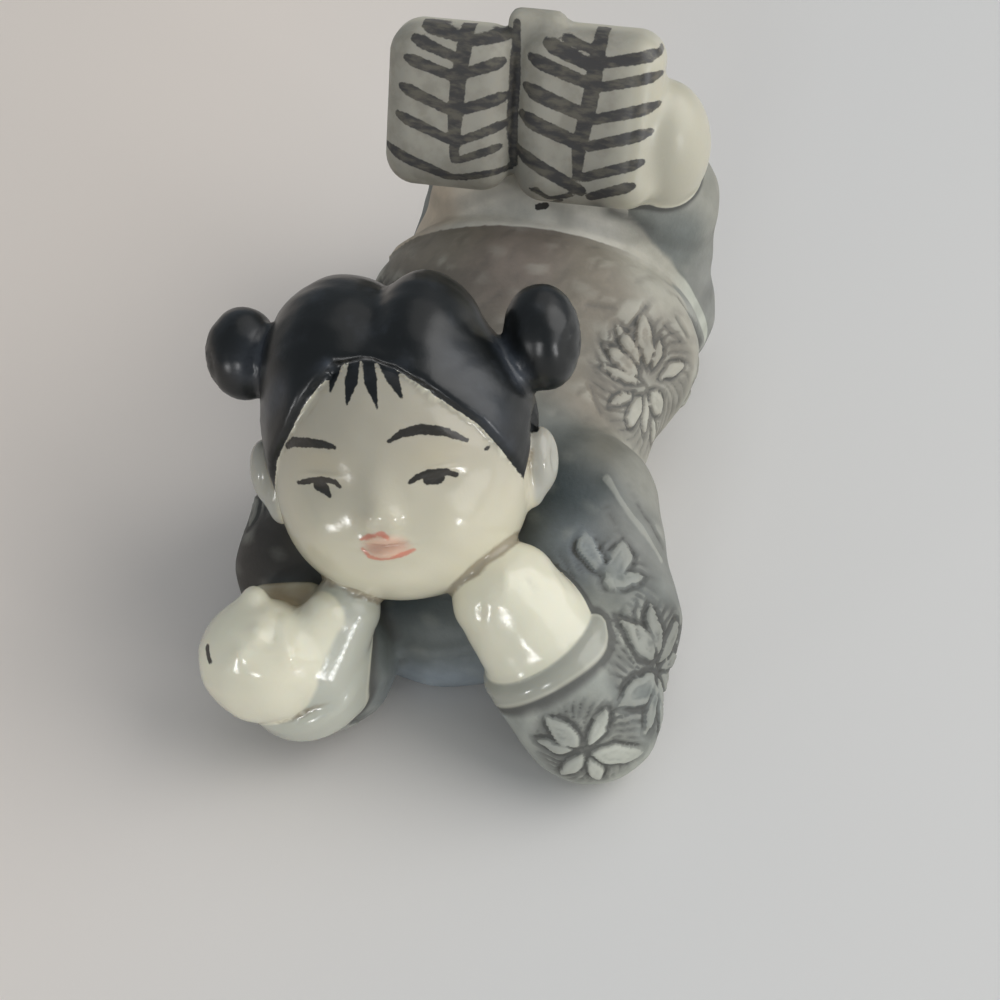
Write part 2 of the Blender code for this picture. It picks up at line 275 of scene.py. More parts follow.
@dataclass(frozen=True)
class Drum:
    """A short cylinder with rounded rims."""

    centre: Place
    along: Place
    radius: float
    height: float
    rounding: float
    blend: float = 0.3

    def add_to(self, form: bmesh.types.BMesh) -> None:
        """Adds the drum's mesh.

        Args:
            form: the bmesh that takes it.
        """
        piece = bmesh.new()
        bmesh.ops.create_cone(
            piece, cap_ends=True, segments=36, radius1=self.radius, radius2=self.radius, depth=self.height
        )
        turn = Vector((0.0, 0.0, 1.0)).rotation_difference(Vector(self.along).normalized()).to_matrix()
        place = Matrix.Translation(self.centre) @ turn.to_4x4()
        bmesh.ops.transform(piece, matrix=place, verts=piece.verts)
        merge_into(form, piece)

    def distance(self, points: Points) -> Points:
        """How far each point is from the drum.

        Args:
            points: places in layout millimetres, one in a row.

        Returns:
            The distances, below zero inside.
        """
        offset = points - np.array(self.centre)
        axial = offset @ np.array(Vector(self.along).normalized())
        radial = np.sqrt(np.maximum((offset * offset).sum(axis=1) - axial * axial, 0.0))
        beyond = np.stack([radial - self.radius, np.abs(axial) - self.height / 2.0], axis=1) + self.rounding
        outer = np.linalg.norm(np.maximum(beyond, 0.0), axis=1)
        return outer + np.minimum(beyond.max(axis=1), 0.0) - self.rounding


def limb_chain(places: list[Place], radii: list[float], blend: float) -> list[Limb]:
    """A bent limb of several lengths.

    Args:
        places: its joints, in order.
        radii: its radius at each joint.
        blend: width over which its lengths melt together.

    Returns:
        One limb for each length.
    """
    lengths = zip(places, places[1:], radii, radii[1:])
    return [Limb(start, end, first, last, blend) for start, end, first, last in lengths]


Form = Ball | Limb | Block | Drum


def melted(forms: list[Form], points: Points) -> Points:
    """How far each point is from the forms melted together.

    Args:
        forms: the forms, in the order in which they melt together.
        points: places in layout millimetres, one in a row.

    Returns:
        The distances, below zero inside.
    """
    total = forms[0].distance(points)
    for form in forms[1:]:
        total = blended_min(total, form.distance(points), form.blend)
    return total


@dataclass(frozen=True)
class Stroke:
    """One brush stroke: across, up and half width at each of its places, in a plane's own directions."""

    path: tuple[tuple[float, float, float], ...]

    def inside(self, across: Points, up: Points) -> Points:
        """How far each place lies inside the stroke's edge.

        Args:
            across: places across the stroke's plane.
            up: the same places, up it.

        Returns:
            The depths inside the edge, below zero outside.
        """
        best = np.full(len(across), -FAR_OFF)
        for (ax, ay, ar), (bx, by, br) in zip(self.path, self.path[1:]):
            run_x, run_y = bx - ax, by - ay
            share = np.clip(((across - ax) * run_x + (up - ay) * run_y) / (run_x ** 2 + run_y ** 2), 0.0, 1.0)
            away = np.hypot(across - ax - share * run_x, up - ay - share * run_y)
            best = np.maximum(best, ar + share * (br - ar) - away)
        return best


def painted(strokes: list[Stroke], across: Points, up: Points) -> Points:
    """How far each place lies inside the nearest of several strokes."""
    return np.max([stroke.inside(across, up) for stroke in strokes], axis=0)


@dataclass(frozen=True)
class Leaf:
    """A pointed leaf of a carved flower: its direction in degrees, where it starts and ends, and its width."""

    angle: float
    start: float
    end: float
    width: float

    def inside(self, across: Points, up: Points) -> Points:
        """How far each place lies inside the leaf's outline.

        Args:
            across: places across the flower.
            up: the same places, up it.

        Returns:
            The depths inside the outline, below zero outside.
        """
        turn = math.radians(self.angle)
        along = across * math.cos(turn) + up * math.sin(turn)
        aside = np.abs(up * math.cos(turn) - across * math.sin(turn))
        half, deep = (self.end - self.start) / 2.0, self.width / 2.0
        radius = (half * half + deep * deep) / (2.0 * deep)
        return radius - np.hypot(along - self.start - half, aside + radius - deep)


@dataclass(frozen=True)
class Flower:
    """Leaves carved round a centre, on hatched ground."""

    centre: Place
    facing: Place
    leaves: tuple[Leaf, ...]
    reach: float = 5.5
    hatches: int = 30
    depth: float = 1.0
    wobble: float = 0.10

    def flat(self, points: Points) -> tuple[Points, Points, Points]:
        """Across, up and out of the flower's plane.

        Args:
            points: places in layout millimetres, one in a row.

        Returns:
            Three rows of lengths in layout millimetres.
        """
        out = np.array(Vector(self.facing).normalized())
        up = np.array(PICTURE_UP) - out * (out @ np.array(PICTURE_UP))
        up /= np.linalg.norm(up)
        offset = points - np.array(self.centre)
        return offset @ np.cross(up, out), offset @ up, offset @ out

    def carve(self, points: Points) -> tuple[Points, Points]:
        """The flower's relief and how far its cuts are filled with wash.

        Args:
            points: places on the plain cloth.

        Returns:
            The height above the plain cloth, and the wash from 0 to 1.
        """
        across, up, out = self.flat(points)
        across, up = (
            across + self.wobble * np.sin(1.9 * up + 0.7) + 0.4 * self.wobble * np.sin(4.1 * up),
            up + self.wobble * np.sin(2.3 * across) + 0.4 * self.wobble * np.sin(5.3 * across),
        )
        radius = np.hypot(across, up)
        here = ramp(self.reach - radius, 0.0, 1.5) * ramp(out, -4.0, -3.0) * ramp(-out, -2.5, -1.5)
        inside = np.max([leaf.inside(across, up) for leaf in self.leaves], axis=0)
        outline = bump(inside, -0.05, 0.17)
        leaf_share = ramp(inside, 0.0, 0.25)
        veins = bump(np.abs(inside - 0.62), 0.0, 0.10) * leaf_share * 0.4
        sweep = np.arctan2(up, across) + 0.18 * radius
        hatch = bump(np.sin(sweep * self.hatches / 2.0), 0.0, 0.38) * (1.0 - leaf_share)
        hatch *= ramp(radius, 1.6, 2.4) * ramp(self.reach - radius, 0.3, 1.2)
        height = 0.07 * leaf_share - 0.20 * outline - 0.08 * (1.0 - leaf_share) - 0.11 * hatch - 0.06 * veins
        wash = np.clip(1.0 * outline + 0.62 * (1.0 - leaf_share) + 0.38 * hatch + 0.5 * veins, 0.0, 1.0)
        return height * here * self.depth, wash * here * self.depth


@dataclass(frozen=True)
class Cut:
    """A groove, a ridge or a rubbed line along a path on the surface."""

    path: tuple[Place, ...]
    width: float
    height: float

    def away(self, points: Points) -> Points:
        """How far each point is from the path.

        Args:
            points: places in layout millimetres, one in a row.

        Returns:
            The distances from the nearest stretch of the path.
        """
        best = np.full(len(points), FAR_OFF * 5.0)
        for start, end in zip(self.path, self.path[1:]):
            run = np.array(end) - np.array(start)
            share = np.clip((points - np.array(start)) @ run / (run @ run), 0.0, 1.0)
            best = np.minimum(best, np.linalg.norm(points - np.array(start) - share[:, None] * run, axis=1))
        return best

    def carve(self, points: Points) -> Points:
        """The height that the cut adds at each point."""
        return self.height * bump(self.away(points), 0.0, self.width)


class Stain(Enum):
    """The stains rubbed into the cloth, as red, green and blue; the darkest is partly painted shade, used on her right
    sleeve.
    """

    SHADED_DARK_BROWN = (0.050, 0.043, 0.036)
    BARK = (0.120, 0.105, 0.086)
    UMBER = (0.250, 0.207, 0.172)
    BROWN_GREY = (0.265, 0.230, 0.180)
    STONE = (0.310, 0.303, 0.260)
    PALE_STONE = (0.430, 0.410, 0.345)
    OLIVE = (0.165, 0.155, 0.120)
    BLUE_BLACK = (0.042, 0.058, 0.063)
    LEAD = (0.098, 0.102, 0.092)
    SLATE = (0.162, 0.178, 0.168)
    SEA_GREY = (0.240, 0.242, 0.220)
    SEA_GREEN = (0.340, 0.350, 0.318)
    MIST = (0.280, 0.320, 0.355)
    CHALK = (0.490, 0.500, 0.430)
    TAN = (0.600, 0.500, 0.380)
    CREAM = (0.820, 0.780, 0.690)


@dataclass(frozen=True)
class Swab:
    """A patch of one stain."""

    centre: Place
    stain: Stain


class Area(Enum):
    """What a place on the surface is part of."""

    CLOTHES = "clothes"
    CUFFS = "cuffs"
    HANDS = "hands"
    FEET = "feet"
    SKIN = "skin"
    HAIR = "hair"


@dataclass
class Region:
    """A part of the figure that is carved as one, within a ball that holds it."""

    centre: Place = (0.0, 15.0, 10.0)
    reach: float = 90.0

    def forms(self) -> list[Form]:
        """The region's forms."""
        raise NotImplementedError

    def carved(self, points: Points) -> Points:
        """How far each point is from the region's surface."""
        return melted(self.forms(), points)

    def distance(self, points: Points) -> Points:
        """How far each point is, read exactly only inside the region's ball.

        Args:
            points: places in layout millimetres, one in a row.

        Returns:
            The distances, with a safe guess for what is far off.
        """
        gap = np.linalg.norm(points - np.array(self.centre), axis=1) - self.reach
        result = np.maximum(gap, 0.0) + FAR_OFF
        near = gap < 0.0
        if near.any():
            result[near] = self.carved(points[near])
        return result

    def relief(self, points: Points) -> Points:
        """The fine height that the region adds to its plain form."""
        return np.zeros(len(points))


@dataclass(frozen=True)
class Mound:
    """A smooth mound on the face, or one at each side when left isn't zero; a hollow where it is below zero."""

    height: float
    left: float
    up: float
    wide: float
    tall: float

    def rise(self, local: Points) -> Points:
        """The height that the mound adds at each place of the head's own directions."""
        return self.height * bump(np.abs(local[:, 0]), self.left, self.wide) * bump(local[:, 2], self.up, self.tall)


@dataclass
class Skin(Region):
    """Face, ears and neck."""

    centre: Place = HEAD_CENTRE
    reach: float = 16.0
    features: tuple[Mound, ...] = (
        Mound(-0.35, 3.9, -0.3, 1.9, 1.2),
        Mound(0.20, 3.9, 0.2, 1.5, 0.5),
        Mound(0.25, 4.8, -3.6, 2.2, 2.0),
        Mound(0.30, 0.8, -2.6, 0.5, 0.5),
        Mound(0.35, 0.0, -4.1, 1.4, 0.45),
        Mound(0.35, 0.0, -5.15, 1.1, 0.45),
        Mound(-0.15, 0.0, -4.6, 1.8, 0.2),
        Mound(-0.12, 0.0, -6.0, 1.5, 0.4),
        Mound(0.20, 0.0, -7.4, 1.8, 1.0),
    )
    details: tuple[Mound, ...] = (
        Mound(0.10, 0.55, -3.8, 0.5, 0.28),
        Mound(0.10, 0.0, -5.1, 0.9, 0.32),
        Mound(-0.05, 0.0, -3.1, 0.25, 0.4),
        Mound(-0.06, 0.42, -2.98, 0.25, 0.16),
        Mound(0.12, 0.0, -1.9, 0.45, 0.8),
        Mound(0.20, 4.6, -4.2, 1.6, 1.6),
    )

    def forms(self) -> list[Form]:
        """Skull and full cheeks, small ears, nose and neck.

        Returns:
            The head's forms without the hair.
        """
        return [
            Ball(at_head(0.0, 0.2, 0.6), (8.9, 8.8, 9.0), Axes.HEAD),
            Ball(at_head(0.0, -0.6, -3.6), (8.7, 8.2, 7.3), Axes.HEAD, blend=2.0),
            Ball(at_head(-10.0, 0.5, -1.7), (1.3, 1.75, 2.3), Axes.HEAD, blend=0.6),
            Ball(at_head(-9.2, 0.2, -4.0), (1.0, 1.1, 1.6), Axes.HEAD, blend=0.8),
            Ball(at_head(9.6, 0.9, -1.9), (1.3, 1.75, 2.3), Axes.HEAD, blend=0.6),
            Ball(at_head(8.9, 0.3, -3.8), (0.9, 1.0, 1.4), Axes.HEAD, blend=0.8),
            Limb(at_head(0.0, -8.1, -0.2), at_head(0.0, -8.75, -2.3), 0.55, 0.85, blend=1.4),
            Limb(at_head(0.0, 3.0, -5.0), (0.0, 5.0, 8.0), 5.0, 6.0, blend=1.0),
        ]

    def front(self, local: Points) -> Points:
        """1 on the front of the head, 0 on its sides and back."""
        return np.clip((-local[:, 1] - 4.0) / 2.0, 0.0, 1.0)

    def face(self, local: Points) -> Points:
        """How far the face stands out of the head.

        Args:
            local: places in the head's own directions.

        Returns:
            The height of the face at each place.
        """
        return sum(mound.rise(local) for mound in self.features) * self.front(local)

    def carved(self, points: Points) -> Points:
        """How far each point is from face, ears and neck."""
        return melted(self.forms(), points) - self.face(local_to(points, HEAD_CENTRE, Axes.HEAD))

    def relief(self, points: Points) -> Points:
        """Lips, lids, nostrils and the hollows of the ears.

        Args:
            points: places in layout millimetres, one in a row.

        Returns:
            The height to add at each point.
        """
        local = local_to(points, HEAD_CENTRE, Axes.HEAD)
        across, up = local[:, 0], local[:, 2]
        fine = sum(mound.rise(local) for mound in self.details)
        mouth = bump(up + 4.52 - 0.05 * across ** 2, 0.0, 0.13) * ramp(-np.abs(across), -1.9, -1.3)
        fine -= 0.13 * mouth
        lid = bump(up - 0.62 + 0.06 * (np.abs(across) - 3.9) ** 2, 0.0, 0.14) * bump(np.abs(across), 3.9, 1.3)
        fine -= 0.06 * lid
        fine += 0.025 * np.sin(2.1 * across + 0.6 * up) * np.sin(1.7 * up - 0.8)
        ears = ramp(np.abs(across), 9.2, 9.9) * bump(local[:, 1], 0.4, 0.75) * bump(up, -1.8, 1.15)
        return fine * self.front(local) - 0.45 * ears


HAIR_DEPTH = 0.6                 # hair standing out from the skin
HAIRLINE = (                     # degrees from the face towards her left, height on the head
    (-180.0, -7.5),
    (-124.0, -6.5),
    (-112.0, -3.0),
    (-100.0, 1.6),
    (-84.0, 1.4),
    (-79.0, -0.8),
    (-75.0, -3.2),
    (-68.0, -1.4),
    (-59.0, 0.8),
    (-46.0, 3.2),
    (-38.0, 5.3),
    (-26.0, 7.4),
    (-8.0, 7.6),
    (0.0, 7.5),
    (14.0, 7.0),
    (28.0, 5.8),
    (39.0, 4.3),
    (50.0, 2.8),
    (59.0, 0.9),
    (67.0, -1.0),
    (75.0, -2.8),
    (80.0, -0.6),
    (85.0, 1.4),
    (100.0, 1.6),
    (112.0, -3.0),
    (124.0, -6.5),
    (180.0, -7.5),
)


@dataclass
class Hair(Region):
    """Two swept lobes with a parting, and a bun at each side of the crown."""

    centre: Place = HEAD_CENTRE
    reach: float = 18.0

    def lobes(self) -> list[Ball]:
        """The cap of hair and its two lobes.

        Returns:
            The cap first, then her right lobe and her left.
        """
        cap = (9.1 + HAIR_DEPTH, 9.0 + HAIR_DEPTH, 9.0 + HAIR_DEPTH)
        return [
            Ball(at_head(0.0, 0.4, 0.6), cap, Axes.HEAD),
            Ball(at_head(-3.5, 1.2, 4.3), (6.1, 7.8, 7.5), Axes.HEAD, blend=1.0),
            Ball(at_head(2.3, 1.0, 4.6), (4.6, 7.6, 7.2), Axes.HEAD, blend=0.5),
        ]

    def buns(self) -> list[Ball]:
        """A bun at each side.

        Returns:
            Her right bun, her left bun and the root of the left.
        """
        return [
            Ball(at_head(-10.9, 1.8, 6.6), (2.7, 2.9, 3.3), Axes.HEAD),
            Ball(at_head(10.4, 1.6, 6.6), (2.7, 3.0, 3.75), Axes.HEAD),
            Ball(at_head(8.6, 1.5, 4.9), (2.0, 2.4, 2.2), Axes.HEAD, blend=0.6),
        ]

    def forms(self) -> list[Form]:
        """Lobes and buns."""
        return self.lobes() + self.buns()

    def inside_hairline(self, local: Points) -> Points:
        """How far a place lies inside the edge of the hair.

        Args:
            local: places in the head's own directions.

        Returns:
            The depths inside the hairline, below zero on the face.
        """
        degrees = np.degrees(np.arctan2(local[:, 0], -local[:, 1]))
        turns, rises = zip(*HAIRLINE)
        return (local[:, 2] - np.interp(degrees, turns, rises)) * 0.8

    def carved(self, points: Points) -> Points:
        """How far each point is from the hair.

        Args:
            points: places in layout millimetres, one in a row.

        Returns:
            The distances, below zero inside.
        """
        local = local_to(points, HEAD_CENTRE, Axes.HEAD)
        hair = blended_max(melted(self.lobes(), points), -self.inside_hairline(local), 0.8)
        return blended_min(hair, melted(self.buns(), points), 0.5)

    def relief(self, points: Points) -> Points:
        """Combed strands that run to the buns, and the coil of each bun.

        Args:
            points: places in layout millimetres, one in a row.

        Returns:
            The height to add at each point.
        """
        local = local_to(points, HEAD_CENTRE, Axes.HEAD)
        comb = np.arctan2(local[:, 2] - 5.0, local[:, 1] - 1.8) * 26.0
        fine = 0.010 * np.sin(comb + 1.4 * np.sin(local[:, 0])) + 0.006 * np.sin(2.3 * comb)
        fine += 0.035 * np.sin(local @ np.array((1.3, 0.7, 0.9)) + 1.5 * np.sin(local @ np.array((-0.7, 1.1, 0.8))))
        for bun in self.buns()[:2]:
            place = local_to(points, bun.centre, Axes.HEAD)
            radius = np.hypot(place[:, 1] + 0.6, place[:, 2])
            coil = radius / 1.5 - np.arctan2(place[:, 2], place[:, 1] + 0.6) / (2.0 * math.pi)
            on_bun = ramp(-np.linalg.norm(place, axis=1), -bun.radii[0] - 0.6, -bun.radii[0] - 0.2)
            fine -= on_bun * (0.11 * bump(np.mod(coil, 1.0), 0.5, 0.12) + 0.02 * np.sin(comb))
        return fine


HEM_POINT = (0.0, 27.3, 19.5)
HEM_SLOPE = (-0.12, 1.0, 0.28)   # away from the tunic, towards the feet
HEM_BAND = 2.1                   # width of the plain border along the hem
HEM_STEP = 0.35                  # border standing out from the tunic


@dataclass
class Clothes(Region):
    """Tunic with its border and collar, trousers and sleeves, carved with flowers."""

    flowers: tuple[Flower, ...] = (
        Flower((11.39, 18.14, 11.47), (0.78, -0.25, 0.57), (
            Leaf(95, 1.3, 5.8, 1.6),
            Leaf(119, 1.5, 5.6, 1.2),
            Leaf(141, 1.0, 4.9, 1.4),
            Leaf(162, 0.4, 4.5, 0.9),
            Leaf(-128, 1.0, 4.1, 1.6),
            Leaf(-94, 0.5, 4.0, 1.0),
            Leaf(-44, 0.4, 3.2, 1.6),
            Leaf(-66, 2.4, 5.0, 0.9),
            Leaf(26, 1.4, 4.4, 1.3),
            Leaf(73, 1.3, 3.9, 1.0),
            Leaf(-160, 1.6, 4.6, 0.9),
        ), reach=6.2, depth=0.8, wobble=0.07),
        Flower((15.24, -12.56, 6.13), (0.2, -0.93, 0.3), (
            Leaf(140, 0.2, 4.0, 1.7),
            Leaf(64, 0.5, 3.4, 1.3),
            Leaf(-18, 0.2, 4.2, 2.0),
            Leaf(-72, 0.4, 3.4, 1.3),
            Leaf(-125, 0.3, 3.4, 1.4),
            Leaf(178, 0.7, 3.6, 1.2),
        ), reach=4.6, hatches=34),
        Flower((18.3, -5.2, 7.6), (0.93, -0.25, 0.27), (
            Leaf(-152, 0.4, 5.2, 1.9),
            Leaf(-118, 0.7, 4.9, 1.4),
            Leaf(-84, 0.3, 4.6, 1.5),
            Leaf(-30, 0.5, 4.2, 1.5),
            Leaf(128, 0.5, 4.4, 1.8),
            Leaf(95, 0.7, 4.6, 1.5),
            Leaf(50, 0.5, 4.4, 1.6),
            Leaf(8, 0.5, 4.2, 1.5),
        ), reach=5.6),
        Flower((13.7, -2.99, 12.02), (0.35, -0.25, 0.9), (
            Leaf(57, 0.2, 4.9, 1.9),
            Leaf(98, 1.2, 5.2, 1.6),
            Leaf(20, 0.6, 3.6, 1.3),
        ), reach=5.2, hatches=24, depth=0.75),
        Flower((3.5, 22.4, 17.4), (0.22, 0.0, 0.97), (
            Leaf(8, 0.5, 4.8, 1.4),
            Leaf(52, 0.5, 4.0, 1.3),
            Leaf(-30, 0.5, 4.4, 1.3),
            Leaf(120, 0.5, 3.8, 1.4),
            Leaf(180, 0.5, 4.6, 1.4),
            Leaf(-118, 0.5, 4.0, 1.3),
        ), reach=5.2, depth=0.09, wobble=0.12),
        Flower((-6.0, 20.5, 16.2), (-0.35, 0.0, 0.94), (
            Leaf(20, 0.5, 4.2, 1.4),
            Leaf(80, 0.5, 3.6, 1.3),
            Leaf(150, 0.5, 4.2, 1.4),
            Leaf(-40, 0.5, 4.2, 1.4),
            Leaf(-110, 0.5, 3.8, 1.4),
        ), reach=4.8, depth=0.09, wobble=0.12),
        Flower((-11.0, 18.0, 10.5), (-0.85, -0.1, 0.5), tuple(
            Leaf(18 + 45 * turn, 0.5, 4.9, 1.7) for turn in range(8)
        ), reach=5.8),
        Flower((-13.0, 26.0, 6.0), (-0.98, 0.1, 0.1), tuple(
            Leaf(60 * turn, 0.5, 4.0, 1.6) for turn in range(6)
        ), reach=4.6, depth=0.8),
        Flower((13.4, 25.5, 5.2), (0.98, 0.1, 0.1), tuple(
            Leaf(25 + 60 * turn, 0.5, 4.0, 1.6) for turn in range(6)
        ), reach=4.6, depth=0.8),
        Flower((-12.5, 1.5, 8.6), (-0.9, -0.2, 0.4), tuple(
            Leaf(12 + 51.4 * turn, 0.5, 4.4, 1.7) for turn in range(7)
        ), reach=5.2, depth=0.8),
        Flower((-4.2, -13.0, 3.4), (0.1, -0.98, 0.0), tuple(
            Leaf(30 + 60 * turn, 0.4, 3.2, 1.3) for turn in range(6)
        ), reach=3.8, depth=0.8),
    )
    cuts: tuple[Cut, ...] = (
        Cut(((11.6, 5.2, 14.1), (12.6, 4.4, 13.6), (13.9, 3.5, 12.8), (15.2, 2.9, 11.9), (16.4, 2.2, 10.6)), 0.42, 0.24),
        Cut(((12.2, 3.2, 13.7), (13.6, 1.9, 13.0), (14.9, 1.1, 12.1)), 0.26, -0.16),
        Cut(((12.9, 5.9, 13.2), (14.2, 4.9, 12.3), (15.6, 4.3, 11.1), (16.2, 4.0, 9.8)), 0.24, -0.16),
        Cut(((11.6, 26.5, 13.1), (12.4, 26.7, 11.8), (12.6, 28.8, 8.6), (12.9, 29.9, 5.6)), 0.26, -0.20),
        Cut(((12.1, 24.0, 13.6), (12.5, 23.8, 13.0), (13.0, 23.7, 12.2)), 0.24, -0.16),
        Cut(((11.6, 22.4, 14.0), (12.2, 22.5, 13.2), (12.8, 22.8, 12.4)), 0.24, -0.16),
        Cut(((10.0, 22.6, 15.4), (9.5, 21.0, 15.2), (9.0, 19.8, 14.9), (8.2, 18.0, 14.5)), 0.26, -0.18),
        Cut(((7.8, 14.7, 13.7), (8.5, 13.7, 13.3), (9.1, 13.1, 12.8)), 0.24, -0.12),
        Cut(((6.0, 20.1, 16.6), (6.9, 20.4, 16.4), (7.8, 20.8, 16.2)), 0.28, -0.10),
    )
    swabs: tuple[Swab, ...] = (
        Swab((0.0, 22.0, 18.0), Stain.UMBER),
        Swab((-8.0, 19.0, 15.0), Stain.BARK),
        Swab((-7.5, 23.5, 16.5), Stain.BROWN_GREY),
        Swab((6.5, 21.5, 17.0), Stain.BROWN_GREY),
        Swab((8.5, 14.0, 13.0), Stain.BROWN_GREY),
        Swab((11.5, 20.0, 13.0), Stain.BROWN_GREY),
        Swab((12.0, 19.0, 10.0), Stain.PALE_STONE),
        Swab((10.0, 25.0, 15.0), Stain.PALE_STONE),
        Swab((11.5, 15.0, 10.0), Stain.PALE_STONE),
        Swab((13.0, 7.5, 12.5), Stain.STONE),
        Swab((-10.5, 18.0, 9.0), Stain.STONE),
        Swab((-13.0, 26.0, 7.0), Stain.STONE),
        Swab((13.5, 26.0, 6.0), Stain.STONE),
        Swab((10.5, 8.5, 14.5), Stain.OLIVE),
        Swab((8.0, 8.0, 14.0), Stain.SLATE),
        Swab((8.5, 4.0, 14.0), Stain.BLUE_BLACK),
        Swab((11.0, 3.5, 14.0), Stain.BLUE_BLACK),
        Swab((13.5, 3.0, 13.0), Stain.SEA_GREY),
        Swab((16.0, 2.0, 11.0), Stain.SEA_GREY),
        Swab((16.0, -2.5, 11.5), Stain.SLATE),
        Swab((18.5, -3.5, 8.5), Stain.LEAD),
        Swab((18.5, -8.0, 7.5), Stain.SLATE),
        Swab((15.0, -4.5, 11.0), Stain.CHALK),
        Swab((16.0, -12.5, 5.5), Stain.CHALK),
        Swab((13.0, -12.5, 5.0), Stain.SEA_GREEN),
        Swab((10.5, -1.0, 12.5), Stain.MIST),
        Swab((2.0, -7.0, 2.0), Stain.MIST),
        Swab((1.0, -6.5, 6.0), Stain.SLATE),
        Swab((0.0, -5.0, 9.0), Stain.BLUE_BLACK),
        Swab((-4.0, -10.0, 3.0), Stain.SEA_GREY),
        # her right sleeve: dark brown cloth with painted shade on it
        Swab((-10.0, 0.0, 11.0), Stain.SHADED_DARK_BROWN),
        Swab((-11.5, -5.0, 10.0), Stain.SHADED_DARK_BROWN),
        Swab((-13.0, 0.0, 7.0), Stain.LEAD),
        Swab((-12.0, -2.0, 3.0), Stain.BARK),
    )
    band_swabs: tuple[Swab, ...] = (
        Swab((-9.0, 27.5, 14.5), Stain.TAN),
        Swab((-4.0, 25.5, 18.0), Stain.CREAM),
        Swab((3.5, 27.0, 18.0), Stain.CREAM),
        Swab((9.0, 27.5, 15.5), Stain.PALE_STONE),
        Swab((12.5, 30.0, 9.0), Stain.CHALK),
    )
    leg_swabs: tuple[Swab, ...] = (
        Swab((12.5, 33.5, 17.5), Stain.STONE),
        Swab((12.0, 31.5, 19.5), Stain.STONE),
        Swab((12.5, 31.0, 10.5), Stain.SEA_GREY),
        Swab((11.0, 34.0, 3.0), Stain.SEA_GREY),
        Swab((0.0, 37.0, 8.0), Stain.SEA_GREY),
        Swab((11.0, 30.0, 17.0), Stain.SLATE),
        Swab((11.5, 30.5, 22.5), Stain.SLATE),
        Swab((0.0, 37.0, 18.0), Stain.SLATE),
        Swab((-11.0, 33.0, 10.0), Stain.SLATE),
    )

    def tunic(self) -> list[Ball]:
        """Chest, waist and seat.

        Returns:
            The balls that make the body, from chest to seat.
        """
        return [
            Ball((1.0, 2.9, 3.8), (9.6, 10.0, 6.9)),
            Ball((0.2, 9.0, 8.0), (10.6, 9.0, 7.2), blend=3.0),
            Ball((0.5, 15.5, 7.2), (11.8, 10.0, 8.2), blend=3.0),
            Ball((0.6, 23.6, 8.6), (13.4, 9.0, 9.7), blend=3.0),
        ]

    def trousers(self) -> list[Form]:
        """Thighs on the table, knees, and shins standing up behind the seat.

        Returns:
            The hips, both legs and what fills the gap between the knees.
        """
        forms = [Ball((0.4, 25.5, 8.4), (12.5, 8.6, 9.2))]
        left = [(5.6, 25.0, 7.5), (6.9, 32.5, 5.7), (6.9, 33.8, 16.0), (5.8, 32.8, 20.5)]
        right = [(-5.6, 25.0, 7.5), (-6.4, 32.5, 5.7), (-5.0, 33.9, 16.0), (-4.8, 32.8, 20.5)]
        forms += limb_chain(left, [7.0, 6.0, 5.4, 4.8], 1.5) + limb_chain(right, [7.0, 6.0, 5.3, 4.7], 1.5)
        forms.append(Ball((0.0, 30.5, 12.0), (9.0, 5.6, 9.0), blend=2.0))
        return forms

    def sleeves(self) -> list[Limb]:
        """Sleeves from the shoulders down to elbows on the table and up to the cuffs.

        Returns:
            Three lengths for each arm.
        """
        left = limb_chain(
            [(9.2, 6.6, 8.8), (13.2, -1.5, 6.4), (14.2, -7.8, 4.5), (11.9, -7.1, 6.8)], [6.0, 5.5, 4.8, 5.0], 1.5
        )
        right = limb_chain(
            [(-9.2, 6.0, 9.0), (-8.8, -2.5, 6.6), (-4.8, -8.8, 4.1), (-4.9, -9.8, 5.0)], [5.6, 4.8, 4.3, 4.6], 1.5
        )
        return left + right

    def forms(self) -> list[Form]:
        """Tunic, trousers and sleeves."""
        return self.tunic() + self.trousers() + self.sleeves()

    def beyond_hem(self, points: Points) -> Points:
        """How far a place lies past the tunic's hem, towards the feet."""
        return (points - np.array(HEM_POINT)) @ np.array(Vector(HEM_SLOPE).normalized())

    def tunic_distance(self, points: Points) -> Points:
        """How far each point is from the tunic with its border and collar.

        Args:
            points: places in layout millimetres, one in a row.

        Returns:
            The distances, below zero inside.
        """
        past = self.beyond_hem(points)
        tunic = melted(self.tunic(), points) - HEM_STEP * ramp(past, -HEM_BAND - 0.3, -HEM_BAND + 0.1)
        tunic = blended_max(tunic, past, 0.5)
        collar = bump(points[:, 2] - 0.15 * points[:, 0], 5.2, 0.45) * ramp(-points[:, 1], 2.0, 4.0)
        return tunic - 0.4 * collar

    def carved(self, points: Points) -> Points:
        """How far each point is from the clothes."""
        tunic = blended_min(self.tunic_distance(points), melted(self.trousers(), points), 0.3)
        return blended_min(tunic, melted(self.sleeves(), points), 1.2)

    def on_trousers(self, points: Points) -> Points:
        """How much nearer each point is to the trousers than to the tunic; past the hem only, at her right."""
        nearer = self.tunic_distance(points) - melted(self.trousers(), points)
        return np.minimum(nearer, self.beyond_hem(points) + 0.2 + FAR_OFF * 4.0 * ramp(points[:, 0], 0.0, 5.0))

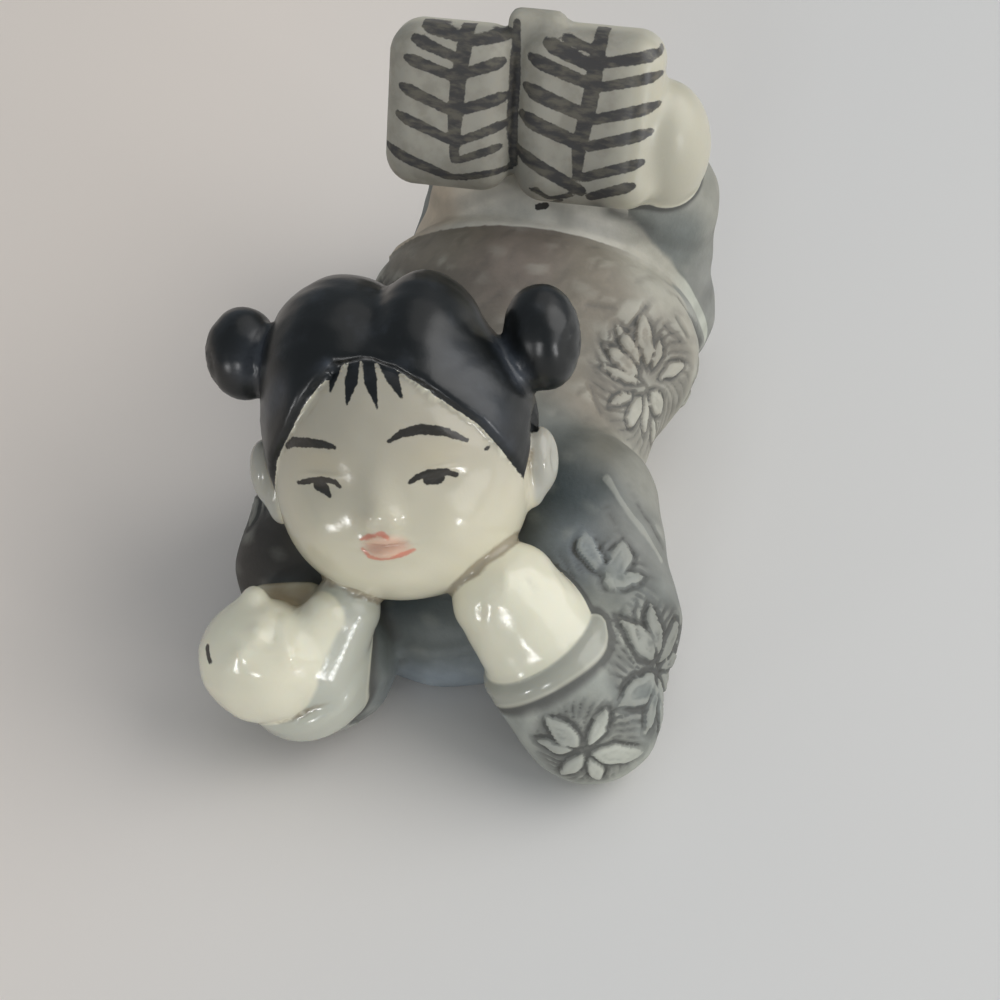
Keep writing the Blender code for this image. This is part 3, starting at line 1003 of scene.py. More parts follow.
    def carving(self, points: Points) -> tuple[Points, Points]:
        """Relief and wash of flowers, seams and folds.

        Args:
            points: places on the plain cloth.

        Returns:
            The height above the plain cloth, and the wash from 0 to 1.
        """
        height = np.zeros(len(points))
        wash = np.zeros(len(points))
        for flower in self.flowers:
            rise, dark = flower.carve(points)
            height += rise
            wash = np.maximum(wash, dark)
        past = self.beyond_hem(points)
        trousers = ramp(self.on_trousers(points), -0.1, 0.3)
        plain = np.maximum(trousers, ramp(past, -HEM_BAND - 0.5, -HEM_BAND - 0.1))
        height *= 1.0 - plain
        wash *= 1.0 - plain
        for cut in self.cuts:
            rise = cut.carve(points)
            height += rise
            wash = np.maximum(wash, np.clip(-rise * 5.0, 0.0, 0.9))
        folds = np.sin(points[:, 2] * 1.15 + 0.55 * np.abs(points[:, 0]) + 0.9 * np.sin(points[:, 0] * 0.5))
        height += 0.06 * folds * trousers * ramp(points[:, 1], 28.0, 31.0)
        wash = np.maximum(wash, 0.30 * ramp(-folds, 0.55, 1.0) * trousers)
        chips = np.sin(4.6 * (0.9 * points[:, 0] - 0.5 * points[:, 1]) + 2.6 * np.sin(0.55 * points[:, 1]))
        where = np.sin(0.9 * points[:, 0] + 0.5 * points[:, 1]) * np.sin(0.6 * points[:, 0] - 0.9 * points[:, 1])
        chips = ramp(chips, 0.2, 0.9) * ramp(np.abs(where), 0.15, 0.6) * (1.0 - plain) * ramp(wash, 0.35, 0.15)
        chips *= ramp(points[:, 2], 9.0, 12.0) * ramp(points[:, 1], 9.0, 12.0)
        height -= 0.03 * chips
        wash = np.maximum(wash, 0.24 * chips)
        return height, wash

    def relief(self, points: Points) -> Points:
        """The fine height of the carving."""
        uneven = 0.045 * np.sin(points @ np.array((1.1, 0.7, 0.9))) * np.sin(points @ np.array((-0.6, 1.2, 0.8)))
        return self.carving(points)[0] + uneven

    @staticmethod
    def tone(points: Points, swabs: tuple[Swab, ...]) -> Points:
        """The cloth's colour, blended between the swabs.

        Args:
            points: places in layout millimetres, one in a row.
            swabs: the stains and their places.

        Returns:
            A colour for each point.
        """
        total = np.zeros((len(points), 3))
        weight = np.zeros(len(points))
        for swab in swabs:
            away = np.linalg.norm(points - np.array(swab.centre), axis=1)
            share = 1.0 / (0.4 + (away / 3.2) ** 2) ** 2
            total += share[:, None] * np.array(swab.stain.value)
            weight += share
        return total / weight[:, None]


SHELF = (                        # across, and how far back the pale border reaches there
    (-14.0, 30.5),
    (6.2, 31.0),
    (6.7, 28.1),
    (8.7, 28.3),
    (9.7, 28.6),
    (10.9, 29.3),
    (12.2, 30.2),
    (13.0, 31.0),
    (14.0, 32.2),
)

LEFT_FOREARM = (-0.60, 0.10, 0.79)
RIGHT_FOREARM = (-0.25, -0.35, 0.90)


@dataclass
class Cuffs(Region):
    """A thick cuff round each wrist."""

    centre: Place = (3.0, -8.5, 7.0)
    reach: float = 17.0

    def forms(self) -> list[Form]:
        """The two cuffs.

        Returns:
            A ring for each wrist and the fold behind her right hand.
        """
        return [
            Drum((10.8, -6.6, 8.1), LEFT_FOREARM, 5.0, 2.8, 1.0),
            Drum((-5.8, -11.0, 5.5), RIGHT_FOREARM, 5.0, 3.4, 1.0),
            Limb((-5.0, -11.4, 7.4), (-3.5, -8.6, 10.3), 3.6, 2.5),
        ]


@dataclass
class Hands(Region):
    """Her left fist under the cheek and her right hand opened outward, thumb up."""

    centre: Place = (0.0, -9.0, 9.0)
    reach: float = 17.0
    dents: tuple[Cut, ...] = (
        Cut(((9.0, -6.3, 15.1), (9.6, -6.6, 14.7)), 0.35, -0.14),
        Cut(((6.4, -8.5, 13.9), (6.6, -8.7, 13.0)), 0.35, -0.14),
        Cut(((7.6, -6.4, 15.6), (7.9, -7.4, 15.0)), 0.45, 0.12),
        Cut(((10.6, -4.6, 14.3), (11.2, -5.2, 13.6)), 0.45, 0.12),
        Cut(((-7.7, -14.3, 12.4), (-7.9, -14.0, 12.5)), 0.60, 0.26),
        Cut(((-8.4, -15.3, 11.6), (-8.5, -15.4, 11.5)), 0.60, 0.22),
        Cut(((-5.5, -14.4, 11.5), (-5.4, -14.6, 11.4)), 0.70, 0.24),
        Cut(((-8.6, -14.9, 12.0), (-6.9, -14.7, 12.1)), 0.24, -0.12),
        Cut(((-7.1, -12.0, 12.4), (-6.9, -13.0, 12.4), (-6.7, -14.0, 12.2)), 0.32, -0.22),
        Cut(((-11.6, -13.6, 10.6), (-10.2, -14.2, 11.6)), 0.35, -0.12),
    )

    def forms(self) -> list[Form]:
        """Fist, palm, thumb and the edge of the palm.

        Returns:
            Her left fist, then the parts of her right hand.
        """
        return [
            Limb((10.3, -6.4, 8.7), (7.4, -5.3, 11.8), 4.4, 3.9),
            Ball((-8.1, -12.9, 8.1), (4.6, 4.2, 4.7)),
            Limb((-9.4, -12.9, 9.8), (-9.2, -11.0, 12.2), 2.6, 0.95, blend=0.5),
            Limb((-6.0, -12.6, 8.6), (-4.3, -10.1, 10.9), 3.0, 1.8, blend=0.5),
            Limb((-9.2, -9.2, 9.4), (-6.4, -8.5, 9.6), 1.6, 1.7, blend=0.4),
        ]

    def relief(self, points: Points) -> Points:
        """Knuckles, the creases beside them and the unevenness of the casting."""
        uneven = 0.035 * np.sin(points @ np.array((1.3, 0.8, 1.1)) + 1.4 * np.sin(points @ np.array((-0.9, 1.4, 0.9))))
        return sum(dent.carve(points) for dent in self.dents) + uneven


@dataclass
class Feet(Region):
    """Two feet side by side, soles towards her head, and the ankles beside them."""

    centre: Place = (-1.0, 31.0, 25.0)
    reach: float = 17.0

    def forms(self) -> list[Form]:
        """Feet, ankles and the small tab between the soles.

        Returns:
            Her right foot and ankle, her left ones and the tab.
        """
        return [
            Block(RIGHT_SOLE, (9.7, 6.0, 12.5), Axes.FOOT, 2.4),
            Ball((-7.4, 31.5, 22.0), (3.5, 4.0, 5.0), blend=1.0),
            Block((3.1, 30.3, 26.15), (10.6, 6.0, 13.4), Axes.FOOT, 2.2, blend=1.0),
            Ball((8.2, 32.2, 23.0), (3.8, 4.0, 5.6), blend=0.8),
            Block((-1.7, 32.0, 31.35), (4.2, 2.5, 3.6), Axes.FOOT, 0.8, blend=0.8),
        ]


@dataclass(frozen=True)
class Fern:
    """A sole's painted sprig: a vein, and ribs from their tips down to their roots on the vein."""

    vein: Stroke
    ribs: tuple[tuple[float, float, float, float, float], ...]
    extras: tuple[Stroke, ...] = ()

    def strokes(self) -> list[Stroke]:
        """Every stroke of the sprig, each rib swelling from its tip to its root.

        Returns:
            The vein, the extra strokes and the ribs.
        """
        made = [self.vein, *self.extras]
        for tip_x, tip_z, root_x, root_z, half in self.ribs:
            near_x, near_z = tip_x + 0.15 * (root_x - tip_x), tip_z + 0.15 * (root_z - tip_z)
            made.append(Stroke((
                (tip_x, tip_z, 0.80 * half), (near_x, near_z, 1.30 * half), (root_x, root_z, 1.10 * half)
            )))
        return made


RIGHT_FERN = Fern(
    Stroke(((1.02, 7.0, 0.50), (1.02, 4.93, 0.58), (0.74, 2.55, 0.62), (0.65, -0.2, 0.56), (0.75, -3.4, 0.34))),
    (
        (-2.2, 6.2, 0.7, 5.7, 0.30),
        (-2.8, 5.4, 0.6, 4.3, 0.33),
        (-3.2, 4.0, 0.5, 2.9, 0.37),
        (-3.5, 1.8, 0.4, 0.3, 0.37),
        (-3.7, -0.4, 0.3, -1.9, 0.34),
        (-4.5, -3.1, 0.3, -4.8, 0.33),
        (4.4, 6.1, 1.7, 5.6, 0.33),
        (3.9, 4.3, 1.3, 3.3, 0.38),
        (4.3, 1.7, 1.2, 0.5, 0.38),
        (4.4, -0.4, 1.2, -1.9, 0.30),
        (4.1, -2.2, 1.1, -3.4, 0.26),
    ),
    (
        Stroke(((0.3, -4.9, 0.26), (1.6, -4.75, 0.30), (2.9, -4.4, 0.30), (4.9, -4.0, 0.24))),
        Stroke(((4.6, 6.9, 0.30), (4.8, 3.2, 0.40), (4.8, -0.6, 0.40), (5.1, -3.6, 0.34))),
    ),
)
LEFT_FERN = Fern(
    Stroke(((0.56, 7.6, 0.50), (0.36, 4.7, 0.58), (0.03, 1.4, 0.62), (-0.44, -1.3, 0.56), (-0.42, -3.6, 0.34))),
    (
        (-2.2, 6.6, 0.3, 5.9, 0.26),
        (-3.4, 6.2, 0.0, 4.9, 0.42),
        (-4.5, 5.0, -0.2, 3.6, 0.42),
        (-4.7, 2.7, -0.4, 1.2, 0.48),
        (-4.9, 0.5, -0.6, -1.0, 0.48),
        (-5.2, -2.2, -0.1, -4.7, 0.42),
        (4.8, 6.0, 1.0, 5.2, 0.34),
        (5.0, 4.5, 0.9, 3.4, 0.34),
        (5.0, 2.2, 0.6, 0.9, 0.37),
        (4.7, 0.2, 0.3, -1.2, 0.37),
        (4.3, -2.1, 0.1, -3.6, 0.34),
        (3.8, -3.9, 0.7, -5.1, 0.33),
    ),
    (Stroke(((-3.9, -5.0, 0.13), (-2.7, -5.5, 0.17))),),
)

FACE_STROKES = [
    Stroke(((1.03, 2.62, 0.12), (1.91, 3.05, 0.27), (2.88, 3.17, 0.34), (3.69, 3.02, 0.33), (4.6, 2.70, 0.28),
            (5.31, 2.25, 0.20), (5.89, 1.82, 0.12))),
    Stroke(((-6.7, 1.80, 0.20), (-6.0, 2.28, 0.32), (-4.9, 2.42, 0.33), (-3.72, 2.45, 0.28), (-2.83, 2.32, 0.16))),
    Stroke(((2.16, -0.26, 0.15), (2.64, 0.02, 0.23), (3.47, 0.16, 0.29), (4.4, 0.05, 0.27), (5.04, -0.30, 0.19))),
    Stroke(((3.35, -0.25, 0.42), (3.95, -0.30, 0.42))),
    Stroke(((-5.91, -0.50, 0.15), (-4.98, -0.23, 0.22), (-3.99, 0.02, 0.24), (-3.02, -0.05, 0.20),
            (-2.69, -0.42, 0.13))),
    Stroke(((-4.35, -0.45, 0.42), (-3.9, -0.62, 0.40), (-3.55, -1.02, 0.16))),
    Stroke(((6.98, 0.88, 0.15), (7.04, 0.92, 0.15))),
]
FRINGE_STROKES = [
    Stroke(((-2.50, 7.6, 0.30), (-2.80, 6.7, 0.36), (-3.02, 5.7, 0.06))),
    Stroke(((-1.30, 7.8, 0.34), (-1.50, 6.4, 0.48), (-1.78, 5.1, 0.10))),
    Stroke(((-0.45, 7.8, 0.40), (-0.15, 6.4, 0.44), (0.22, 5.2, 0.16), (0.33, 4.7, 0.05))),
    Stroke(((0.62, 7.6, 0.42), (1.30, 6.5, 0.42), (1.98, 5.2, 0.07))),
]
LIP_STROKES = [
    Stroke(((-1.55, -4.0, 0.08), (-0.95, -3.72, 0.20), (-0.50, -3.62, 0.14))),
    Stroke(((-0.32, -3.50, 0.12), (0.02, -3.52, 0.22), (0.40, -3.80, 0.12))),
    Stroke(((-1.55, -4.75, 0.10), (-1.10, -5.30, 0.19), (-0.50, -5.42, 0.17), (0.30, -5.45, 0.13),
            (1.00, -5.28, 0.20), (1.95, -4.98, 0.13))),
]
SURFACE_STROKES = (              # brush strokes along paths on the surface; the width is a half width
    Cut(((-11.35, -14.9, 10.75), (-10.75, -15.6, 10.2)), 0.24, 1.0),
    Cut(((0.32, 25.29, 22.32), (0.78, 25.36, 21.89), (1.28, 25.54, 21.48), (2.13, 25.56, 21.77), (2.89, 25.63, 22.09)),
        0.24, 1.0),
    Cut(((0.01, 27.02, 19.1), (0.58, 27.2, 19.26)), 0.26, 1.0),
    Cut(((1.46, 26.07, 20.71), (2.1, 25.7, 21.36)), 0.26, 1.0),
)
# painted shadow under her left foot, on the border
SHELF_SHADE = Cut(((4.9, 26.2, 21.1), (5.6, 27.9, 19.3), (7.0, 28.1, 18.8), (8.6, 28.5, 17.9)), 0.6, 1.0)
# painted shade in the hollow of her right palm
PALM_PAINTED_SHADE = Cut(((-9.2, -7.6, 9.8), (-8.1, -9.3, 11.0), (-7.2, -9.5, 11.1), (-6.4, -9.0, 11.2)), 1.5, 1.0)
PALM_LINE = Cut(((-9.6, -6.9, 9.4), (-8.27, -6.88, 9.88), (-6.9, -7.3, 10.7)), 0.45, 1.0)
HAIR_WEAR_AND_SHEEN = (                    # lines along which the lacquer is rubbed, lighter lines that are partly painted sheen
    Cut(((1.35, 7.1, 26.1), (2.98, 5.6, 25.4), (4.85, 4.0, 25.0), (5.6, 3.6, 24.2)), 0.75, 1.0),
    Cut(((1.9, 0.8, 27.4), (3.5, 0.3, 26.4), (5.2, -0.6, 24.4)), 1.7, 0.45),
    Cut(((-13.1, 0.3, 22.4), (-12.6, 1.8, 23.8)), 1.3, 0.7),
    Cut(((-10.6, -2.6, 22.0), (-9.6, -2.9, 24.6)), 1.1, 0.8),
    Cut(((-9.0, -2.9, 24.6), (-6.3, -1.9, 27.2)), 0.35, 0.9),
    Cut(((4.6, -1.6, 24.6), (6.3, -1.2, 22.4)), 0.8, 0.5),
)


@dataclass
class Skeleton:
    """A mesh being sculpted, with its points as one array."""

    mesh: bpy.types.Mesh

    def points(self) -> Points:
        """The mesh's points.

        Returns:
            One row for each point.
        """
        values = np.empty(len(self.mesh.vertices) * 3)
        self.mesh.vertices.foreach_get("co", values)
        return values.reshape(-1, 3)

    def set_points(self, points: Points) -> None:
        """Moves the mesh's points."""
        self.mesh.vertices.foreach_set("co", points.ravel())
        self.mesh.update()

    def even_out(self, factor: float = 0.5) -> None:
        """Spaces the points evenly.

        Args:
            factor: how far each point moves towards its neighbours' middle.
        """
        form = bmesh.new()
        form.from_mesh(self.mesh)
        bmesh.ops.smooth_vert(
            form, verts=form.verts, factor=factor, use_axis_x=True, use_axis_y=True, use_axis_z=True
        )
        form.to_mesh(self.mesh)
        form.free()

    def refine(self, wanted: Points) -> None:
        """Halves the mesh's faces where they are wanted finer.

        Args:
            wanted: whether each point asks for finer faces.
        """
        form = bmesh.new()
        form.from_mesh(self.mesh)
        edges = [edge for edge in form.edges if wanted[edge.verts[0].index] and wanted[edge.verts[1].index]]
        bmesh.ops.subdivide_edges(form, edges=edges, cuts=1, use_grid_fill=True)
        form.to_mesh(self.mesh)
        form.free()

    def spread(self, values: Points, rounds: int) -> Points:
        """Values at the points, one column each, averaged with their neighbours over some rounds.

        Args:
            values: one row for each point.
            rounds: how many times it is averaged.

        Returns:
            The averaged values.
        """
        pairs = np.empty(len(self.mesh.edges) * 2, dtype=np.int64)
        self.mesh.edges.foreach_get("vertices", pairs)
        one, other = pairs.reshape(-1, 2).T
        count = len(self.mesh.vertices)
        ends = np.concatenate([one, other])
        starts = np.concatenate([other, one])
        degree = np.maximum(np.bincount(ends, minlength=count), 1)
        for _ in range(rounds):
            values = np.stack([np.bincount(ends, column[starts], count) / degree for column in values.T], axis=1)
        return values

    def hollows(self, rounds: int) -> Points:
        """How far each point lies below the mean of its neighbours, spread over some rounds.

        Args:
            rounds: how many rounds of neighbours count.

        Returns:
            The depths, above zero in a hollow and below zero on a ridge.
        """
        points = self.points()
        normals = np.empty(len(points) * 3)
        self.mesh.vertices.foreach_get("normal", normals)
        return ((self.spread(points, rounds) - points) * normals.reshape(-1, 3)).sum(axis=1)


@dataclass
class Girl:
    """The whole figure: one casting, carved and painted."""

    skin: Skin = field(default_factory=Skin)
    hair: Hair = field(default_factory=Hair)
    clothes: Clothes = field(default_factory=Clothes)
    cuffs: Cuffs = field(default_factory=Cuffs)
    hands: Hands = field(default_factory=Hands)
    feet: Feet = field(default_factory=Feet)
    middle: Place = (0.0, 0.0, 0.0)

    def regions(self) -> dict[Area, Region]:
        """Each area's region.

        Returns:
            The regions by area.
        """
        return {
            Area.CLOTHES: self.clothes,
            Area.CUFFS: self.cuffs,
            Area.HANDS: self.hands,
            Area.FEET: self.feet,
            Area.SKIN: self.skin,
            Area.HAIR: self.hair,
        }

    def distance(self, points: Points) -> Points:
        """How far each point is from the plain figure.

        Args:
            points: places in layout millimetres, one in a row.

        Returns:
            The distances, below zero inside.
        """
        total = self.clothes.distance(points)
        for cuff in self.cuffs.forms():
            total = blended_min(total, cuff.distance(points), 0.3)
        total = blended_min(total, self.hands.distance(points), 0.4)
        total = blended_min(total, self.feet.distance(points), 0.4)
        head = blended_min(self.skin.distance(points), self.hair.distance(points), 0.2)
        return blended_min(total, head, 0.5)

    def slope(self, points: Points, gap: Points) -> Points:
        """The direction in which the distance grows, at each point."""
        steps = np.eye(3) * PROBE
        return np.stack([self.distance(points + step) - gap for step in steps], axis=1) / PROBE

    def draw_onto_surface(self, work: Skeleton, rounds: int) -> None:
        """Moves the mesh's points onto the plain figure's surface.

        Args:
            work: the mesh.
            rounds: how many moves each point makes.
        """
        points = work.points()
        for _ in range(rounds):
            gap = self.distance(points)
            slope = self.slope(points, gap)
            steepness = np.maximum((slope * slope).sum(axis=1), LEAST_STEEPNESS)
            move = slope * (gap / steepness)[:, None]
            length = np.linalg.norm(move, axis=1, keepdims=True)
            points -= move * np.minimum(1.0, LONGEST_MOVE / np.maximum(length, LONGEST_MOVE / 10.0))
        work.set_points(points)

    def joined_skin(self) -> bpy.types.Mesh:
        """One closed skin around all the overlapping forms.

        Returns:
            The mesh, with points about GRID_STEP apart.
        """
        form = bmesh.new()
        for region in self.regions().values():
            for part in region.forms():
                part.add_to(form)
        mesh = bpy.data.meshes.new("forms")
        form.to_mesh(mesh)
        form.free()
        holder = bpy.data.objects.new("forms", mesh)
        bpy.context.scene.collection.objects.link(holder)
        remesh = holder.modifiers.new("join", "REMESH")
        remesh.mode = "VOXEL"
        remesh.voxel_size = GRID_STEP
        graph = bpy.context.evaluated_depsgraph_get()
        result = bpy.data.meshes.new_from_object(holder.evaluated_get(graph))
        bpy.data.objects.remove(holder)
        bpy.data.meshes.remove(mesh)
        return result

    def belonging(self, points: Points) -> dict[Area, Points]:
        """How far each point lies inside each area, and not in any other.

        Args:
            points: places in layout millimetres, one in a row.

        Returns:
            For each area, the depths inside it, below zero outside.
        """
        away = {area: region.distance(points) for area, region in self.regions().items()}
        return {
            area: np.min([away[other] for other in away if other is not area], axis=0) - own
            for area, own in away.items()
        }

    def carved_finely(self, points: Points) -> Points:
        """Where the carving or the painting asks for a finer mesh.

        Args:
            points: places in layout millimetres, one in a row.

        Returns:
            Whether each point asks for finer faces.
        """
        inside = self.belonging(points)
        height, wash = self.clothes.carving(points)
        local = local_to(points, HEAD_CENTRE, Axes.HEAD)
        marks = painted(FACE_STROKES + LIP_STROKES + FRINGE_STROKES, local[:, 0], local[:, 2])
        ears = (np.abs(local[:, 0]) > 8.6) & (local[:, 1] < 3.5)
        face = (inside[Area.SKIN] > -0.5) & (((marks > -1.0) & (local[:, 1] < -3.0)) | ears)
        dents = np.abs(sum(dent.carve(points) for dent in self.hands.dents)) > 0.02
        hands = (dents & (inside[Area.HANDS] > -0.4)) | (np.abs(inside[Area.CUFFS]) < 0.35)
        cloth = (inside[Area.CLOTHES] > -0.3) & ((np.abs(height) > 0.035) | (wash > 0.30))
        soles = self.ink(points, inside) > -0.4
        edges = np.abs(inside[Area.HAIR]) < 0.6
        return face | hands | cloth | soles | edges

    def painted_finely(self, points: Points) -> Points:
        """Where the face's brush strokes and lips ask for the finest mesh.

        Args:
            points: places in layout millimetres, one in a row.

        Returns:
            Whether each point asks for the finest faces.
        """
        local = local_to(points, HEAD_CENTRE, Axes.HEAD)
        marks = painted(FACE_STROKES + LIP_STROKES + FRINGE_STROKES, local[:, 0], local[:, 2])
        return (marks > -0.45) & (local[:, 1] < -3.0)

    def ink(self, points: Points, inside: dict[Area, Points]) -> Points:
        """How far each point lies inside a dark brush stroke on the skin or the soles.

        Args:
            points: places in layout millimetres, one in a row.
            inside: the depths inside each area.

        Returns:
            The depths inside a stroke, below zero off it.
        """
        local = local_to(points, HEAD_CENTRE, Axes.HEAD)
        face = np.where(local[:, 1] < -3.0, painted(FACE_STROKES, local[:, 0], local[:, 2]), -FAR_OFF)
        best = np.minimum(face, inside[Area.SKIN] + 0.3)
        for centre, fern in ((RIGHT_SOLE, RIGHT_FERN), (LEFT_SOLE, LEFT_FERN)):
            flat = local_to(points, centre, Axes.FOOT)
            marks = painted(fern.strokes(), flat[:, 0], flat[:, 2])
            best = np.maximum(best, np.where(flat[:, 1] < 0.4, marks, -FAR_OFF))
        for stroke in SURFACE_STROKES:
            best = np.maximum(best, stroke.width - stroke.away(points))
        return best

    def paint(self, points: Points) -> dict[str, Points]:
        """The painter's maps at each point of the plain surface.

        Args:
            points: places on the plain surface.

        Returns:
            Each map by name; the ones ending in _in are distances inside an edge, in layout millimetres.
        """
        inside = self.belonging(points)
        local = local_to(points, HEAD_CENTRE, Axes.HEAD)
        fringe = painted(FRINGE_STROKES, local[:, 0], local[:, 2])
        fringe = np.where(local[:, 1] < -3.0, fringe, -FAR_OFF)
        lips = painted(LIP_STROKES, local[:, 0], local[:, 2])
        lip_area = 1.0 - np.hypot((local[:, 0] - 0.12) / 1.85, (local[:, 2] + 4.6) / 1.1)
        front = local[:, 1] < -5.0
        side = np.abs(local[:, 0])
        above_ears = np.min([
            side - 8.4, 9.7 - side, local[:, 2] - 0.2, 3.0 - np.abs(local[:, 1]), inside[Area.SKIN] + 0.3
        ], axis=0)
        past = self.clothes.beyond_hem(points)
        trousers = self.clothes.on_trousers(points)
        shelf = np.interp(points[:, 0], *zip(*SHELF)) - points[:, 1]
        # painted shade: the faces of the soles darker, except the outer side of her left sole, where the light falls;
        # the tab between them is grey paint
        sole_shade_and_tab = ramp(-local_to(points, RIGHT_SOLE, Axes.FOOT)[:, 1], -0.5, 1.5) * ramp(7.2 - points[:, 0], 0.0, 2.5)
        tab = ramp(points[:, 2], 30.5, 31.5) * ramp(-np.abs(points[:, 0] + 1.7), -2.8, -2.2)
        sole_shade_and_tab = np.maximum(sole_shade_and_tab, 0.8 * tab)
        return {
            "hair_in": np.max([inside[Area.HAIR], fringe, above_ears], axis=0),
            "cloth_in": inside[Area.CLOTHES],
            "cuff_in": inside[Area.CUFFS],
            "band_in": np.minimum(past + HEM_BAND, np.maximum(0.2 - trousers, shelf)),
            "trousers_in": trousers,
            "ink_in": self.ink(points, inside),
            "lips_in": np.where(front, lips, -FAR_OFF),
            "lip_area": np.where(front, lip_area, -1.0),
            "wash": self.clothes.carving(points)[1],
            # painted shade in the hollow of her right palm
            "stain": PALM_PAINTED_SHADE.carve(points),
            # a dark line on the palm, and the painted shadow under her left foot
            "palm_line_and_painted_shadow": np.maximum(PALM_LINE.carve(points), 0.75 * SHELF_SHADE.carve(points)),
            # rubbed lacquer and painted sheen on the hair
            "hair_wear_and_sheen": np.max([line.carve(points) for line in HAIR_WEAR_AND_SHEEN], axis=0),
            "on_feet": ramp(inside[Area.FEET], -0.3, 0.3),
            "sole_shade_and_tab": ramp(inside[Area.FEET], -0.1, 0.1) * sole_shade_and_tab,
            "face": ramp(inside[Area.SKIN], -0.1, 0.1),
            # painted shade: the face darker towards the forehead and lighter towards the chin
            "upper_face_painted_shade": ramp(inside[Area.SKIN], -0.1, 0.1) * ramp(local[:, 2], -8.5, 4.5),
            "socket": bump(np.abs(local[:, 0]), 3.9, 2.0) * bump(local[:, 2], 1.2, 1.2) * front,
            # painted shade on the ears
            "ear_painted_shade": ramp(inside[Area.SKIN], -0.1, 0.1) * ramp(side, 8.9, 9.5),
            # painted light: her right cuff, away from the window, painted paler than her left
            "right_cuff_light_share": ramp(-points[:, 0], 0.0, 2.0),
        }

    def build(self) -> bpy.types.Object:
        """Joins, settles, refines and carves the skin.

        Returns:
            The finished piece, in place, with its painter's maps as attributes.
        """
        work = Skeleton(self.joined_skin())
        log.info("joined skin: %d points", len(work.mesh.vertices))
        for _ in range(2):
            work.even_out()
            self.draw_onto_surface(work, 2)
        work.refine(self.carved_finely(work.points()))
        log.info("refined for carving: %d points", len(work.mesh.vertices))
        for _ in range(2):
            work.even_out()
            self.draw_onto_surface(work, 1)
        work.refine(self.painted_finely(work.points()))
        work.even_out()
        self.draw_onto_surface(work, 2)
        log.info("refined for painting: %d points", len(work.mesh.vertices))
        base = work.points()
        above = base[base[:, 2] > 0.0]
        self.middle = (*((above.min(axis=0) + above.max(axis=0)) / 2.0)[:2], 0.0)
        log.info("middle of the layout: %.2f, %.2f", *self.middle[:2])
        maps = self.paint(base)
        tones = {
            "tone": self.clothes.tone(base, self.clothes.swabs),
            "band_tone": self.clothes.tone(base, self.clothes.band_swabs),
            "leg_tone": self.clothes.tone(base, self.clothes.leg_swabs),
        }
        height = self.relief(base)
        maps["raised"] = height - work.spread(height[:, None], 12)[:, 0]
        work.set_points(base + self.outward(base) * height[:, None])
        maps["hollow"] = work.hollows(4) + 0.6 * work.hollows(16)
        maps["hollow"] *= 1.0 - 0.85 * bump(self.clothes.beyond_hem(base), -HEM_BAND - 0.1, 0.7)
        maps["crease"] = maps["hollow"] * ramp(-maps["hair_in"], 0.5, 1.2) * (1.0 - 0.7 * maps["on_feet"])
        for name, values in maps.items():
            layer = work.mesh.attributes.new(name, "FLOAT", "POINT")
            layer.data.foreach_set("value", values.astype(np.float32))
        for name, values in tones.items():
            layer = work.mesh.attributes.new(name, "FLOAT_VECTOR", "POINT")
            layer.data.foreach_set("vector", values.astype(np.float32).ravel())
        self.stand_flat(work.mesh)
        work.mesh.shade_smooth()
        piece = bpy.data.objects.new("painted_girl", work.mesh)
        bpy.context.scene.collection.objects.link(piece)
        return piece

    def relief(self, base: Points) -> Points:
        """The fine carving's height above each point of the plain surface.

        Args:
            base: points of the plain surface.

        Returns:
            The height to add at each point.
        """
        inside = self.belonging(base)
        height = np.zeros(len(base))
        for area, region in self.regions().items():
            here = inside[area] > -0.15
            height[here] += ramp(inside[area][here], -0.1, 0.25) * region.relief(base[here])
        return height

    def outward(self, base: Points) -> Points:
        """The direction out of the plain surface at each point."""
        slope = self.slope(base, self.distance(base))
        return slope / np.maximum(np.linalg.norm(slope, axis=1, keepdims=True), 0.3)

    def stand_flat(self, mesh: bpy.types.Mesh) -> None:
        """Cuts the underside flat on the table and brings the figure to its place and size.

        Args:
            mesh: the carved mesh, still in the layout's millimetres.
        """
        form = bmesh.new()
        form.from_mesh(mesh)
        everything = form.verts[:] + form.edges[:] + form.faces[:]
        bmesh.ops.bisect_plane(
            form, geom=everything, dist=MERGE_DISTANCE, plane_no=(0.0, 0.0, -1.0), clear_outer=True
        )
        rims = [edge for edge in form.edges if edge.is_boundary]
        bmesh.ops.holes_fill(form, edges=rims, sides=0)
        bmesh.ops.triangulate(form, faces=[face for face in form.faces if len(face.verts) > 4])
        bmesh.ops.recalc_face_normals(form, faces=form.faces[:])
        bmesh.ops.translate(form, vec=-Vector(self.middle), verts=form.verts)
        bmesh.ops.scale(form, vec=(METRES, METRES, METRES), verts=form.verts)
        form.to_mesh(mesh)
        form.free()
        low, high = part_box(NODE)
        work = Skeleton(mesh)
        work.set_points(np.clip(work.points(), np.array(low), np.array(high)))


